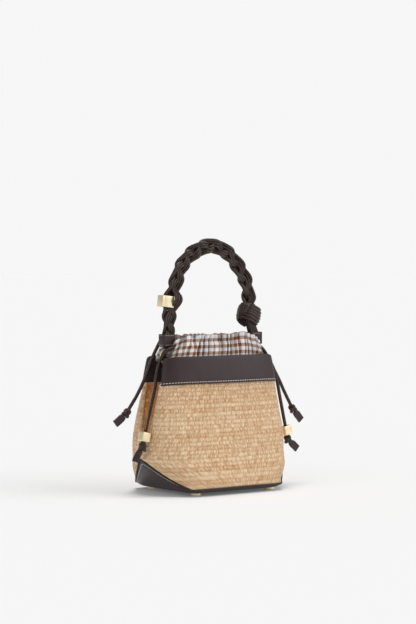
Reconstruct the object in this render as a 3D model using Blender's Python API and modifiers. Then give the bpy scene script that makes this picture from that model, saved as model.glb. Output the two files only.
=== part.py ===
"""Bucket bag: a woven raffia body on a leather base, with a leather band round the mouth, a gathered
drawstring collar, and a braided leather handle that swings on two metal rings.

The origin is at the bottom centre of the feet. X runs along the bag, from end to end, Y runs from the
front wall (-Y) to the back wall (+Y), and Z is up. Sizes below are in millimetres.
"""
import math

import bmesh
import bpy
from mathutils import Matrix, Vector

MM = 0.001
GAP = 0.35                       # clearance between pieces that touch

# Feet and base
FOOT_RADIUS = 7.0
FOOT_HEIGHT = 3.65
FOOT_X = 58.2
FOOT_Y = 47.2
BASE_UNDERSIDE = 4.0
LEATHER_THICK = 1.8
BASE_EDGE_Z = 10.0               # the base leather turns up to here along the front and back
CORNER_X = 77.0                  # bottom corners of the raffia body
CORNER_Y = 64.0
APEX_X = 110.0                   # top of the triangular end flaps of the base
APEX_Z = 46.0
SEAM_SAG = 3.5
SEAM_GAP = 2.3                   # between the two edges that meet under the binding

# Raffia body, from the apex of the end flaps up to the mouth:
# height, half length at the fold, half depth at the fold, half depth at the middle, squareness
WALL_LEVELS = [
    (46.0, 110.0, 0.0, 54.0, 2.6),
    (75.0, 104.0, 10.6, 48.0, 3.0),
    (106.0, 98.7, 14.8, 42.0, 2.8),
    (140.0, 93.0, 18.0, 35.0, 2.2),
    (175.0, 88.0, 15.5, 30.0, 2.0),
]
# Lower rows of the wall: position along the seam, half depth at the middle, squareness
SEAM_ROWS = [(0.0, 66.0, 3.0), (1 / 3, 63.0, 3.0), (2 / 3, 58.5, 3.0), (1.0, 54.0, 2.6)]
RAFFIA_THICK = 1.8
PLEAT_TOP_X = 46.0               # inner fold line of the end pleat, at the top of the band
PLEAT_ROUND = 0.4                # below 1 the pleat is a U rather than a V

# Leather band
BAND_BOTTOM = 140.0
BAND_TOP = 175.0
BAND_STANDS = 3.1
BAND_THICK = 1.6

# Lining and gathered collar: height, half length, half depth, squareness
LINING_LEVELS = [(9.0, 68.0, 56.0, 5.0), (22.0, 72.0, 56.0, 4.0), (46.0, 95.0, 48.0, 2.4),
                 (75.0, 88.0, 42.5, 2.3), (106.0, 74.0, 36.5, 2.3), (140.0, 56.5, 30.0, 2.3),
                 (174.5, 41.0, 25.0, 2.3)]
COLLAR_LEVELS = [(175.8, 53.5, 25.5, 2.6), (184.0, 56.5, 27.0, 2.6), (192.0, 55.0, 25.0, 2.5),
                 (200.0, 51.0, 21.0, 2.4)]
LINING_THICK = 1.2
COLLAR_THICK = 2.4
RUN_RADIUS = 1.7
# Drawcords inside the collar: name, height, half length, half depth
DRAWCORD_RUNS = [("drawcord_run_left", 186.5, 51.0, 21.2), ("drawcord_run_right", 191.8, 49.8, 19.8)]

# Rings, tabs and handle
RING_X = 70.0
RING_RADIUS = 9.8
RING_WIRE = 1.2
TAB_AXIS_Z = 164.9               # lower bar of the ring, held by the tab
SLEEVE_AXIS_Z = 184.5            # upper bar of the ring, held by the handle's sleeve
LOOP_BORE = 2.4
SLEEVE_SIZE = (19.0, 12.0, 15.5)
SLEEVE_BOTTOM = 187.5
BRAID_HALF_WIDTH = 6.0
BRAID_HALF_DEPTH = 3.9
BRAID_PERIOD = 88.0
STRAND_RADIUS = 3.0
KNOT_CENTRE = (61.0, 0.0, 226.0)
KNOT_HALF = (17.0, 13.0, 16.0)
# Centre line of the braided handle in its own plane: along X, height
HANDLE_ROUTE = [(-68.5, 204.9), (-68.0, 218.0), (-64.0, 243.0), (-58.0, 266.0), (-53.0, 285.0),
                (-44.0, 301.0), (-27.0, 312.5), (-5.0, 319.0), (16.0, 316.0), (33.0, 307.5),
                (45.0, 295.0), (54.0, 278.0), (60.0, 260.0), (61.0, 243.8)]
LEG_X = {"a": 63.4, "b": 69.8, "c": 76.2}
LEG_TOP = 209.4
HANDLE_BEAD = {"size": (22.4, 19.0, 17.0), "hole": (19.4, 16.0, 30.0), "centre": (-64.0, 0.0, 244.5),
               "lean": (4.0, 0.0, 17.0)}

# Drawcord tails: route from the collar to the knot, then the way that the loose tip points
CORD_RADIUS = 2.3
KNOT_RADIUS = 6.2
BEAD_SIZE = 12.0
BEAD_BORE = 3.2
TIP_SIZE = (9.0, 3.0, 15.0)
TAILS = {
    "front_left": {
        "route": [(-59.5, -9.5, 186.0), (-69.0, -9.6, 185.5), (-78.5, -8.3, 180.5), (-85.5, -8.0, 170.5),
                  (-90.8, -8.4, 156.0), (-94.6, -9.5, 138.0), (-99.4, -10.4, 122.0), (-104.2, -11.5, 107.0),
                  (-108.8, -12.2, 92.0), (-112.8, -12.8, 78.0), (-115.3, -13.1, 68.0)],
        "tip": (-0.72, 0.10, -0.68), "has_bead": True},
    "rear_left": {
        "route": [(-59.0, 8.5, 190.0), (-65.0, 9.8, 196.0), (-72.0, 9.8, 195.5), (-80.0, 9.2, 184.0),
                  (-86.5, 9.0, 172.5), (-96.2, 10.0, 149.0), (-107.9, 12.0, 126.0), (-119.0, 14.0, 108.5)],
        "tip": (-0.78, 0.04, -0.62), "has_bead": False},
    "front_right": {
        "route": [(59.5, -9.5, 186.0), (69.0, -9.6, 185.5), (79.0, -8.0, 179.5), (88.5, -7.8, 167.0),
                  (97.0, -8.2, 152.0), (102.0, -8.0, 137.0), (106.3, -8.0, 118.0), (110.5, -8.0, 100.0),
                  (114.7, -8.0, 82.0), (118.7, -8.0, 65.0)],
        "tip": (0.77, 0.00, -0.64), "has_bead": True},
    "rear_right": {
        "route": [(59.0, 8.5, 190.0), (65.0, 9.8, 193.0), (74.0, 9.8, 188.0), (84.0, 6.5, 177.0),
                  (93.5, 4.0, 167.0), (103.0, 3.0, 155.0), (113.0, 2.5, 139.0), (122.0, 2.0, 122.0),
                  (132.0, 1.0, 104.0)],
        "tip": (0.66, -0.05, -0.75), "has_bead": False},
}
TAIL_STEP = 6.5                  # spacing of the points along a tail
HANDLE_STEP = 4.8

# Looks: colour, roughness, metalness
RAFFIA = ((0.60, 0.42, 0.25), 0.75)
PLEAT_RAFFIA = ((0.45, 0.24, 0.10), 0.8)
LEATHER = ((0.075, 0.055, 0.050), 0.45)
EDGE_LEATHER = ((0.030, 0.022, 0.020), 0.5)
GOLD = ((0.83, 0.66, 0.36), 0.25, 1.0)
STEEL = ((0.55, 0.55, 0.55), 0.35, 1.0)
CLOTH = ((0.55, 0.42, 0.36), 0.9)
COLLAR_CLOTH = ((0.70, 0.60, 0.55), 0.9)
BOARD = ((0.35, 0.30, 0.24), 0.8)
STRAND_LOOKS = {"a": ((0.070, 0.050, 0.045), 0.45), "b": ((0.060, 0.044, 0.040), 0.45),
                "c": ((0.080, 0.058, 0.052), 0.45)}


# ---------------------------------------------------------------- helpers
def clear_scene():
    for obj in list(bpy.data.objects):
        bpy.data.objects.remove(obj, do_unlink=True)


def new_collection(name):
    collection = bpy.data.collections.new(name)
    bpy.context.scene.collection.children.link(collection)
    return collection


def material(name, color, roughness=0.5, metallic=0.0):
    made = bpy.data.materials.new(name)
    made.use_nodes = True
    shader = made.node_tree.nodes["Principled BSDF"]
    shader.inputs["Base Color"].default_value = (*color, 1.0)
    shader.inputs["Roughness"].default_value = roughness
    shader.inputs["Metallic"].default_value = metallic
    return made


def place(obj, look=None, smooth=True, into=None):
    """Put an object in its collection with its own material."""
    for collection in list(obj.users_collection):
        collection.objects.unlink(obj)
    (into or parts).objects.link(obj)
    if look:
        obj.data.materials.clear()
        obj.data.materials.append(material(obj.name, *look))
    if smooth and obj.type == "MESH":
        obj.data.shade_smooth()
        obj.data.set_sharp_from_angle(angle=math.radians(40))
    return obj


def object_from_bmesh(name, bm):
    mesh = bpy.data.meshes.new(name)
    bm.to_mesh(mesh)
    bm.free()
    return bpy.data.objects.new(name, mesh)


def mm(point):
    return Vector(point) * MM


def sheet(name, rows, facing, thick, look, closed=False, floor_face=False):
    """Loft rows of points into one surface that faces along 'facing', thickened inwards."""
    bm = bmesh.new()
    grid = [[bm.verts.new(mm(p)) for p in row] for row in rows]
    count = len(rows[0])
    for low, high in zip(grid, grid[1:]):
        for k in range(count if closed else count - 1):
            n = (k + 1) % count
            bm.faces.new((low[k], low[n], high[n], high[k]))
    if floor_face:
        bm.faces.new(list(reversed(grid[0])))
    bm.normal_update()
    outward = 0.0
    for face in bm.faces:
        way = Vector((*face.calc_center_median().xy, 0)).normalized() if closed else Vector(facing)
        outward += face.normal.dot(way)
    if outward < 0:
        bmesh.ops.reverse_faces(bm, faces=bm.faces)
    obj = object_from_bmesh(name, bm)
    place(obj, look)
    solid = obj.modifiers.new("thickness", "SOLIDIFY")
    solid.thickness = thick * MM
    solid.offset = -1.0
    solid.use_even_offset = True
    return obj


def curved_route(points, step):
    """Points at even spacing on a smooth curve through hand-placed ones."""
    knots = [Vector(p) for p in points]
    knots = [2 * knots[0] - knots[1]] + knots + [2 * knots[-1] - knots[-2]]
    fine = []
    for a, b, c, d in zip(knots, knots[1:], knots[2:], knots[3:]):
        for i in range(24):
            t = i / 24
            fine.append(0.5 * ((2 * b) + (c - a) * t + (2 * a - 5 * b + 4 * c - d) * t * t
                               + (3 * b - a - 3 * c + d) * t ** 3))
    fine.append(knots[-2])
    lengths = [0.0]
    for a, b in zip(fine, fine[1:]):
        lengths.append(lengths[-1] + (b - a).length)
    count = max(2, round(lengths[-1] / step))
    out, seg = [], 0
    for i in range(count + 1):
        want = lengths[-1] * i / count
        while seg < len(fine) - 2 and lengths[seg + 1] < want:
            seg += 1
        span = lengths[seg + 1] - lengths[seg]
        out.append(fine[seg].lerp(fine[seg + 1], (want - lengths[seg]) / span if span else 0))
    return out, lengths[-1]


def tube(name, runs, radius, look, closed=False, sides=2):
    """A round tube along each run of points, in one curve object."""
    curve = bpy.data.curves.new(name, "CURVE")
    curve.dimensions = "3D"
    curve.bevel_depth = radius * MM
    curve.bevel_resolution = sides
    curve.use_fill_caps = not closed
    for run in runs:
        spline = curve.splines.new("POLY")
        spline.points.add(len(run) - 1)
        for point, co in zip(spline.points, run):
            point.co = (*mm(co), 1.0)
        spline.use_cyclic_u = closed
    obj = bpy.data.objects.new(name, curve)
    return place(obj, look)


def box(name, size, centre, look=None, bevel=0.0, turn=None, into=None):
    bm = bmesh.new()
    bmesh.ops.create_cube(bm, size=1.0, matrix=Matrix.Diagonal((*[s * MM for s in size], 1.0)))
    obj = object_from_bmesh(name, bm)
    place(obj, look, into=into)
    obj.matrix_world = Matrix.Translation(mm(centre)) @ (turn or Matrix())
    if bevel:
        round_edges(obj, bevel)
    return obj


def cylinder(name, radius, length, centre, axis="Z", look=None, into=None, sides=24):
    bm = bmesh.new()
    bmesh.ops.create_cone(bm, cap_ends=True, segments=sides, radius1=radius * MM, radius2=radius * MM,
                          depth=length * MM)
    turn = {"Z": Matrix(), "X": Matrix.Rotation(math.pi / 2, 4, "Y"),
            "Y": Matrix.Rotation(math.pi / 2, 4, "X")}[axis] if isinstance(axis, str) else axis
    obj = object_from_bmesh(name, bm)
    place(obj, look, into=into)
    obj.matrix_world = Matrix.Translation(mm(centre)) @ turn
    return obj


def round_edges(obj, width, segments=2, angle=40):
    bevel = obj.modifiers.new("rounded edges", "BEVEL")
    bevel.width = width * MM
    bevel.segments = segments
    bevel.limit_method = "ANGLE"
    bevel.angle_limit = math.radians(angle)


def cutter(obj):
    obj.hide_render = True
    obj.display_type = "WIRE"
    return obj


def boolean(obj, other, operation="DIFFERENCE"):
    cut = obj.modifiers.new(operation.lower(), "BOOLEAN")
    cut.operation = operation
    cut.object = cutter(other)


def along(direction):
    """A turn that takes +Z to the given direction and keeps Y as level as it can be."""
    z = Vector(direction).normalized()
    x = Vector((0, 1, 0)).cross(z).normalized()
    y = z.cross(x)
    return Matrix((x, y, z)).transposed().to_4x4()


# ---------------------------------------------------------------- body shape
def level_at(z):
    """Half length and half depth at the fold, half depth at the middle and squareness at a height."""
    for low, high in zip(WALL_LEVELS, WALL_LEVELS[1:]):
        if z <= high[0]:
            t = (z - low[0]) / (high[0] - low[0])
            return [a + (b - a) * t for a, b in zip(low[1:], high[1:])]
    return list(WALL_LEVELS[-1][1:])


def seam_point(t):
    """The seam between raffia and end flap, from the bottom corner (0) up to the apex (1)."""
    return (CORNER_X + (APEX_X - CORNER_X) * t, CORNER_Y * (1 - t),
            BASE_EDGE_Z + (APEX_Z - BASE_EDGE_Z) * t - 4 * SEAM_SAG * t * (1 - t))


def wall_row(end_x, end_y, middle, square, z, half_steps=8):
    """One level of the front wall (y < 0), from the left fold to the right fold."""
    row = []
    for k in range(-half_steps, half_steps + 1):
        angle = k / half_steps * math.pi / 2
        x = math.copysign(end_x * abs(math.sin(angle)) ** (2 / square), angle) if k else 0.0
        y = end_y + (middle - end_y) * max(math.cos(angle), 0.0) ** (2 / square)
        row.append((x, -y, z))
    return row


def wall_rows(heights, outset):
    rows = []
    for z in heights:
        end_x, end_y, middle, square = level_at(z)
        rows.append(wall_row(end_x + outset, end_y, middle + outset, square, z))
    return rows


def oval(half_x, half_y, square, z, count=32):
    row = []
    for k in range(count):
        c, s = math.cos(k / count * math.tau), math.sin(k / count * math.tau)
        row.append((math.copysign(half_x * abs(c) ** (2 / square), c),
                    math.copysign(half_y * abs(s) ** (2 / square), s), z))
    return row


def mirrored(rows, axis):
    return [[tuple(-v if i == axis else v for i, v in enumerate(p)) for p in row] for row in rows]


def pleat_inner_x(z):
    return PLEAT_TOP_X + (APEX_X - PLEAT_TOP_X) * (BAND_TOP - z) / (BAND_TOP - APEX_Z)


def pleat_rows(heights, outset, shy):
    """The U that folds inwards at the right-hand end, from the front fold to the back fold."""
    rows = []
    for z in heights:
        end_x, end_y, _, _ = level_at(z)
        end_x += outset
        inner = pleat_inner_x(z)
        row = []
        for k in range(-5, 6):
            w = k / 5
            row.append((inner + (end_x - inner) * abs(w) ** (1 / PLEAT_ROUND), w * (end_y - shy), z))
        rows.append(row)
    return rows


def raffia_body():
    seam_rows = []
    for t, middle, square in SEAM_ROWS:
        x, y, z = seam_point(t)
        seam_rows.append(wall_row(x, y + SEAM_GAP / 2, middle, square, z + SEAM_GAP))
    rows = seam_rows + wall_rows([75.0, 106.0, 140.0, 173.0], 0.0)
    sheet("raffia_front", rows, (0, -1, 0), RAFFIA_THICK, RAFFIA)
    sheet("raffia_back", mirrored(rows, 1), (0, 1, 0), RAFFIA_THICK, RAFFIA)
    pleat = pleat_rows([57.0, 75.0, 106.0, BAND_BOTTOM - GAP], 0.0, 2.4)
    sheet("gusset_right", pleat, (1, 0, 0), 1.6, PLEAT_RAFFIA)
    sheet("gusset_left", mirrored(pleat, 0), (-1, 0, 0), 1.6, PLEAT_RAFFIA)


def leather_band():
    heights = [BAND_BOTTOM, 151.7, 163.4, BAND_TOP]
    rows = wall_rows(heights, BAND_STANDS)
    sheet("band_front", rows, (0, -1, 0), BAND_THICK, LEATHER)
    sheet("band_back", mirrored(rows, 1), (0, 1, 0), BAND_THICK, LEATHER)
    pleat = pleat_rows(heights, BAND_STANDS, 3.0)
    sheet("band_end_right", pleat, (1, 0, 0), BAND_THICK, LEATHER)
    sheet("band_end_left", mirrored(pleat, 0), (-1, 0, 0), BAND_THICK, LEATHER)


def base_outline(half_x, half_y, corner, z):
    """Right half front to back then left half, with the same stations as the seam."""
    xs = [-0.8, -0.4, 0.0, 0.4, 0.8]
    ys = [-2 / 3, -1 / 3, 0.0, 1 / 3, 2 / 3]
    c = corner * (1 - math.sqrt(0.5))
    out = [(half_x * v, -half_y, z) for v in xs]
    out += [(half_x - c, -half_y + c, z)] + [(half_x, half_y * v, z) for v in ys]
    out += [(half_x - c, half_y - c, z)]
    out += [(half_x * v, half_y, z) for v in reversed(xs)]
    out += [(-half_x + c, half_y - c, z)] + [(-half_x, half_y * v, z) for v in reversed(ys)]
    out += [(-half_x + c, -half_y + c, z)]
    return out


def leather_base():
    """Flat bottom that turns up into a low edge at front and back and a triangular flap at each end."""
    bottom = base_outline(71.0, 59.0, 9.0, BASE_UNDERSIDE)
    turn = base_outline(76.0, 64.0, 10.0, BASE_UNDERSIDE + 2.4)
    top = []
    for x, y, z in base_outline(78.0, 66.0, 8.0, BASE_EDGE_Z):
        if abs(x) > 77.5:
            t = 1 - abs(y) / 66.0
            sx, sy, sz = seam_point(t)
            top.append((math.copysign(sx, x), math.copysign(sy, y) if y else 0.0, sz))
        else:
            top.append((x, y, z))
    rows = [bottom, turn]
    for r in (1 / 3, 2 / 3):
        row = []
        for low, high in zip(turn, top):
            rise = high[2] - BASE_EDGE_Z
            bulge = 4.0 * math.sin(math.pi * r) * max(rise, 0.0) / (APEX_Z - BASE_EDGE_Z)
            point = [a + (b - a) * r for a, b in zip(low, high)]
            point[0] += math.copysign(bulge, point[0]) if rise > 0 else 0.0
            row.append(tuple(point))
        rows.append(row)
    rows.append(top)
    sheet("base_leather", rows, (0, 0, -1), LEATHER_THICK, LEATHER, closed=True, floor_face=True)
    board = box("base_board", (136.0, 112.0, 2.0), (0, 0, BASE_UNDERSIDE + LEATHER_THICK + GAP + 1.0), BOARD)
    round_edges(board, 0.6)


def edge_binding():
    """One bound leather edge that follows the seam all round the base."""
    quarter = [(x, y, BASE_EDGE_Z + 0.3) for x, y, _ in wall_row(CORNER_X, CORNER_Y, 66.0, 3.0, 0)][9:16]
    right_front = [(x, y - 2.1, z) for x, y, z in quarter]
    right_front.append((CORNER_X + 1.4, -CORNER_Y - 1.8, BASE_EDGE_Z + 0.3))
    for t in [0.08, 0.2, 0.35, 0.5, 0.65, 0.8, 0.92]:
        x, y, z = seam_point(t)
        right_front.append((x + 2.2, -y, z + 0.1))
    apex = [(APEX_X + 2.0, 0.0, APEX_Z - 0.6)]
    right = right_front + apex + [(x, -y, z) for x, y, z in reversed(right_front)]
    left = [(-x, y, z) for x, y, z in reversed(right)]
    front_middle = [(0.0, -68.1, BASE_EDGE_Z + 0.3)]
    back_middle = [(0.0, 68.1, BASE_EDGE_Z + 0.3)]
    tube("edge_binding", [front_middle + right + back_middle + left], 1.2, EDGE_LEATHER, closed=True)


def feet():
    for side_x, x in (("left", -FOOT_X), ("right", FOOT_X)):
        for side_y, y in (("front", -FOOT_Y), ("back", FOOT_Y)):
            foot = cylinder(f"foot_{side_y}_{side_x}", FOOT_RADIUS, FOOT_HEIGHT, (x, y, FOOT_HEIGHT / 2),
                            look=GOLD, sides=28)
            round_edges(foot, 0.7)
            washer_z = BASE_UNDERSIDE + LEATHER_THICK + 2 * GAP + 2.0 + 0.4
            cylinder(f"washer_{side_y}_{side_x}", 5.0, 0.8, (x, y, washer_z), look=STEEL, sides=16)


def lining_and_collar():
    lining = [oval(a, b, n, z + (0.6 if i == 0 else 0.0)) for i, (z, a, b, n) in enumerate(LINING_LEVELS)]
    sheet("lining", lining, (0, 0, 1), LINING_THICK, CLOTH, closed=True, floor_face=True)
    collar = [oval(a, b, n, z) for z, a, b, n in COLLAR_LEVELS]
    sheet("collar", collar, (0, 0, 1), COLLAR_THICK, COLLAR_CLOTH, closed=True)
    for name, z, a, b in DRAWCORD_RUNS:
        tube(name, [oval(a, b, 2.4, z)], RUN_RADIUS, LEATHER, closed=True)


def rings_and_tabs():
    for side, sign in (("left", -1), ("right", 1)):
        x = sign * RING_X
        centre_z = (TAB_AXIS_Z + SLEEVE_AXIS_Z) / 2
        run = [(x + RING_RADIUS * math.cos(a), 0.0, centre_z + RING_RADIUS * math.sin(a))
               for a in [math.tau * k / 32 for k in range(32)]]
        ring = tube(f"ring_{side}", [run], RING_WIRE, GOLD, closed=True)
        move_origin(ring, (x, 0.0, TAB_AXIS_Z))
        foot = box(f"tab_{side}", (16.0, 6.4, 13.0), (sign * 69.3, 0, 154.5), LEATHER)
        loop = box(f"tab_loop_{side}", (8.0, 6.4, 14.0), (x, 0, 161.6), into=cutters)
        boolean(foot, loop, "UNION")
        boolean(foot, cylinder(f"tab_bore_{side}", LOOP_BORE, 12.0, (x, 0, TAB_AXIS_Z), "X", into=cutters))


def move_origin(obj, point):
    """Set a curve object's origin without moving the curve."""
    shift = mm(point)
    for spline in obj.data.splines:
        for p in spline.points:
            p.co = (*(Vector(p.co[:3]) - shift), 1.0)
    obj.location = shift


def handle():
    for side, sign in (("left", -1), ("right", 1)):
        x = sign * RING_X
        width, depth, height = SLEEVE_SIZE
        sleeve = box(f"sleeve_{side}", SLEEVE_SIZE, (x, 0, SLEEVE_BOTTOM + height / 2), LEATHER)
        loop = box(f"sleeve_loop_{side}", (8.0, 7.6, 9.0), (x, 0, 184.8), into=cutters)
        boolean(sleeve, loop, "UNION")
        bore = cylinder(f"sleeve_bore_{side}", LOOP_BORE, 12.0, (x, 0, SLEEVE_AXIS_Z), "X", into=cutters)
        boolean(sleeve, bore)
        shift_mesh_origin(sleeve, (x, 0, SLEEVE_AXIS_Z))
    centre, length = curved_route([(x, 0.0, z) for x, z in HANDLE_ROUTE], HANDLE_STEP)
    for index, strand in enumerate("abc"):
        run = []
        for k, point in enumerate(centre):
            ahead = centre[min(k + 1, len(centre) - 1)] - centre[max(k - 1, 0)]
            across = Vector((0, 1, 0)).cross(ahead.normalized())
            angle = math.tau * (length * k / (len(centre) - 1) / BRAID_PERIOD + index / 3)
            run.append(point + across * BRAID_HALF_WIDTH * math.sin(angle)
                       + Vector((0, BRAID_HALF_DEPTH * math.sin(2 * angle), 0)))
        tube(f"handle_strand_{strand}", [run], STRAND_RADIUS, STRAND_LOOKS[strand])
    bm = bmesh.new()
    bmesh.ops.create_uvsphere(bm, u_segments=20, v_segments=12, radius=MM)
    bmesh.ops.scale(bm, vec=KNOT_HALF, verts=bm.verts)
    knot = place(object_from_bmesh("handle_knot", bm), LEATHER)
    knot.location = mm(KNOT_CENTRE)
    for strand, x in LEG_X.items():
        leg = [(x, 0.0, SLEEVE_BOTTOM + height + GAP), (x, 0.0, LEG_TOP)]
        tube(f"handle_leg_{strand}", [leg], STRAND_RADIUS, STRAND_LOOKS[strand])
    lean = along(HANDLE_BEAD["lean"])
    bead = box("handle_bead", HANDLE_BEAD["size"], HANDLE_BEAD["centre"], GOLD, turn=lean)
    hole = box("handle_bead_hole", HANDLE_BEAD["hole"], HANDLE_BEAD["centre"], turn=lean, into=cutters)
    boolean(bead, hole)


def shift_mesh_origin(obj, point):
    """Move a box's origin onto its hinge axis and keep the box where it is."""
    move = obj.matrix_world.translation - mm(point)
    obj.data.transform(Matrix.Translation(move))
    obj.matrix_world.translation = mm(point)


def tail(name, spec):
    points, _ = curved_route(spec["route"], TAIL_STEP)
    end = points[-1]
    heading = (points[-1] - points[-2]).normalized()
    tube(f"cord_tail_{name}", [points], CORD_RADIUS, LEATHER)
    knot_centre = end + heading * (KNOT_RADIUS + GAP)
    bm = bmesh.new()
    bmesh.ops.create_uvsphere(bm, u_segments=14, v_segments=8, radius=KNOT_RADIUS * MM)
    place(object_from_bmesh(f"tail_knot_{name}", bm), LEATHER).location = mm(knot_centre)
    tip_way = Vector(spec["tip"]).normalized()
    tip_centre = knot_centre + tip_way * (KNOT_RADIUS + 0.5 + TIP_SIZE[2] / 2)
    tip = box(f"tail_tip_{name}", TIP_SIZE, tip_centre, LEATHER, turn=along(tip_way))
    round_edges(tip, 1.0)
    if spec["has_bead"]:
        centre = end - heading * (BEAD_SIZE / 2 + 0.6)
        turn = along(-heading)
        bead = box(f"cord_bead_{name}", (BEAD_SIZE,) * 3, centre, GOLD, turn=turn)
        hole = cylinder(f"cord_bead_hole_{name}", BEAD_BORE, 30.0, centre, turn, into=cutters, sides=20)
        boolean(bead, hole)


clear_scene()
parts = new_collection("bucket_bag")
cutters = new_collection("cutters")
raffia_body()
leather_band()
leather_base()
edge_binding()
feet()
lining_and_collar()
rings_and_tabs()
handle()
for tail_name, tail_spec in TAILS.items():
    tail(tail_name, tail_spec)
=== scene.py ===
import bisect
import math
import bpy
from mathutils import Matrix, Vector, noise


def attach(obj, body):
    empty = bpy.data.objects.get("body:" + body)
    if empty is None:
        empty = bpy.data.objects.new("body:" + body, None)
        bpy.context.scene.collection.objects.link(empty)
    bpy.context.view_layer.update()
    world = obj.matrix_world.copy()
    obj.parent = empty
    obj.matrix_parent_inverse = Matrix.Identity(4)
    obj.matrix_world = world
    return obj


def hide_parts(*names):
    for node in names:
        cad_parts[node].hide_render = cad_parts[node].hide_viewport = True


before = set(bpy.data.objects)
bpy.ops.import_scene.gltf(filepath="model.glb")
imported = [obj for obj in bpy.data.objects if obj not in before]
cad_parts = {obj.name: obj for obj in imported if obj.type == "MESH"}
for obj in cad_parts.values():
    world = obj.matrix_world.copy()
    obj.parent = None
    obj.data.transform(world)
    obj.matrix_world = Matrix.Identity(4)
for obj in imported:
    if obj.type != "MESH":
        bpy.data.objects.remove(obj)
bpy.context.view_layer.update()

mm = 0.001
print("frame loaded")


# ---- small tools used by every piece
def deselectAll():
    if bpy.context.object and bpy.context.object.mode != "OBJECT":
        bpy.ops.object.mode_set(mode="OBJECT")
    bpy.ops.object.select_all(action="DESELECT")


def pick(*pieces):
    deselectAll()
    for piece in pieces:
        piece.select_set(True)
    bpy.context.view_layer.objects.active = pieces[0]
    return pieces[0]


def editAll(piece):
    # into edit mode with the whole piece selected
    pick(piece)
    bpy.ops.object.mode_set(mode="EDIT")
    bpy.ops.mesh.select_all(action="SELECT")


def leaveEdit():
    bpy.ops.object.mode_set(mode="OBJECT")


def makeBox(width, depth, height):
    # a plain block centred on the origin, in millimetres
    deselectAll()
    bpy.ops.mesh.primitive_cube_add(size=1)
    piece = bpy.context.object
    piece.scale = (width * mm, depth * mm, height * mm)
    bpy.ops.object.transform_apply(scale=True)
    return piece


def copyOf(piece):
    # a copy with its own mesh
    made = piece.copy()
    made.data = piece.data.copy()
    bpy.context.collection.objects.link(made)
    return made


def applyModifiers(piece):
    pick(piece)
    for modifier in list(piece.modifiers):
        bpy.ops.object.modifier_apply(modifier=modifier.name)


def finishPiece(piece, name, material, body="bag", replaced=(), smoothAngle=40):
    applyModifiers(piece)  # the last steps that every piece shares
    bpy.ops.object.transform_apply(location=True, rotation=True, scale=True)
    piece.name = piece.data.name = name
    piece.data.materials.clear()
    piece.data.materials.append(material)
    if piece.type == "MESH":
        if smoothAngle:
            bpy.ops.object.shade_smooth_by_angle(angle=math.radians(smoothAngle))
        else:
            bpy.ops.object.shade_smooth()
    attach(piece, body)
    if replaced:
        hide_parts(*replaced)
    return piece


def selectFaces(piece, wanted):
    # leaves the piece in edit mode with only the wanted faces selected
    pick(piece)
    bpy.ops.object.mode_set(mode="EDIT")
    bpy.ops.mesh.select_mode(type="FACE")
    bpy.ops.mesh.select_all(action="DESELECT")
    bpy.ops.object.mode_set(mode="OBJECT")
    for polygon in piece.data.polygons:
        polygon.select = wanted(polygon)
    bpy.ops.object.mode_set(mode="EDIT")


def addThickness(piece, thickness, offset=-1.0):
    solid = piece.modifiers.new("thickness", "SOLIDIFY")
    solid.thickness = thickness * mm
    solid.offset = offset
    solid.use_even_offset = False


def addBevel(piece, width, angle, segments=2):
    bevel = piece.modifiers.new("bevel", "BEVEL")
    bevel.width = width * mm
    bevel.segments = segments
    bevel.limit_method = "ANGLE"
    bevel.angle_limit = math.radians(angle)


def gridPiece(columns, rows, shape, uvSize=(1, 1), *, faceOut, depth=None):
    # a flat grid set out on a shape: shape takes u, v from 0 to 1 and gives millimetres, and faceOut the
    # way that a face there should look
    deselectAll()
    bpy.ops.mesh.primitive_grid_add(x_subdivisions=columns, y_subdivisions=rows, size=2)
    piece = bpy.context.object
    # depth, when given, is how dark the painted shade in the cloth's fold valleys is at each point, kept in
    # an attribute that the material reads
    paintedShadeValues = piece.data.attributes.new("paintedFoldShade", "FLOAT", "POINT") if depth else None
    for vertex in piece.data.vertices:
        u, v = (vertex.co.x + 1) / 2, (vertex.co.y + 1) / 2
        vertex.co = Vector(shape(u, v)) * mm
        if depth:
            paintedShadeValues.data[vertex.index].value = depth(u, v)
    for corner in piece.data.uv_layers.active.data:
        corner.uv = (corner.uv.x * uvSize[0], corner.uv.y * uvSize[1])
    editAll(piece)
    bpy.ops.mesh.remove_doubles(threshold=0.02 * mm)
    leaveEdit()
    if sum(polygon.normal.dot(faceOut(polygon.center)) for polygon in piece.data.polygons) < 0:
        editAll(piece)
        bpy.ops.mesh.flip_normals()
        leaveEdit()
    return piece


def runLengths(points):
    # how far along a run each of its points lies
    lengths = [0.0]
    for a, b in zip(points, points[1:]):
        lengths.append(lengths[-1] + (b - a).length)
    return lengths


def evenSteps(points, count, wanted):
    # a run cut into equal steps; wanted is how many of the points between them are given back
    lengths = runLengths(points)
    out, seg = [], 0
    for k in range(wanted):
        want = lengths[-1] * k / count
        while seg < len(points) - 2 and lengths[seg + 1] < want:
            seg += 1
        span = lengths[seg + 1] - lengths[seg]
        out.append(points[seg].lerp(points[seg + 1], (want - lengths[seg]) / span if span else 0))
    return out


def softenLoop(loop, passes):
    for _ in range(passes):
        loop = [(loop[k - 1] + 2 * loop[k] + loop[(k + 1) % len(loop)]) / 4 for k in range(len(loop))]
    return loop


def easeStep(value):
    value = max(0.0, min(1.0, value))
    return value * value * (3 - 2 * value)


def smoothRoute(points, step):
    # evenly spaced points on a smooth curve through given ones, in millimetres
    knots = [Vector(p) for p in points]
    knots = [2 * knots[0] - knots[1]] + knots + [2 * knots[-1] - knots[-2]]
    fine = []
    for a, b, c, d in zip(knots, knots[1:], knots[2:], knots[3:]):
        for i in range(24):
            t = i / 24
            fine.append(0.5 * ((2 * b) + (c - a) * t + (2 * a - 5 * b + 4 * c - d) * t * t
                               + (3 * b - a - 3 * c + d) * t ** 3))
    fine.append(knots[-2])
    count = max(2, round(runLengths(fine)[-1] / step))
    return evenSteps(fine, count, count + 1)


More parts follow.
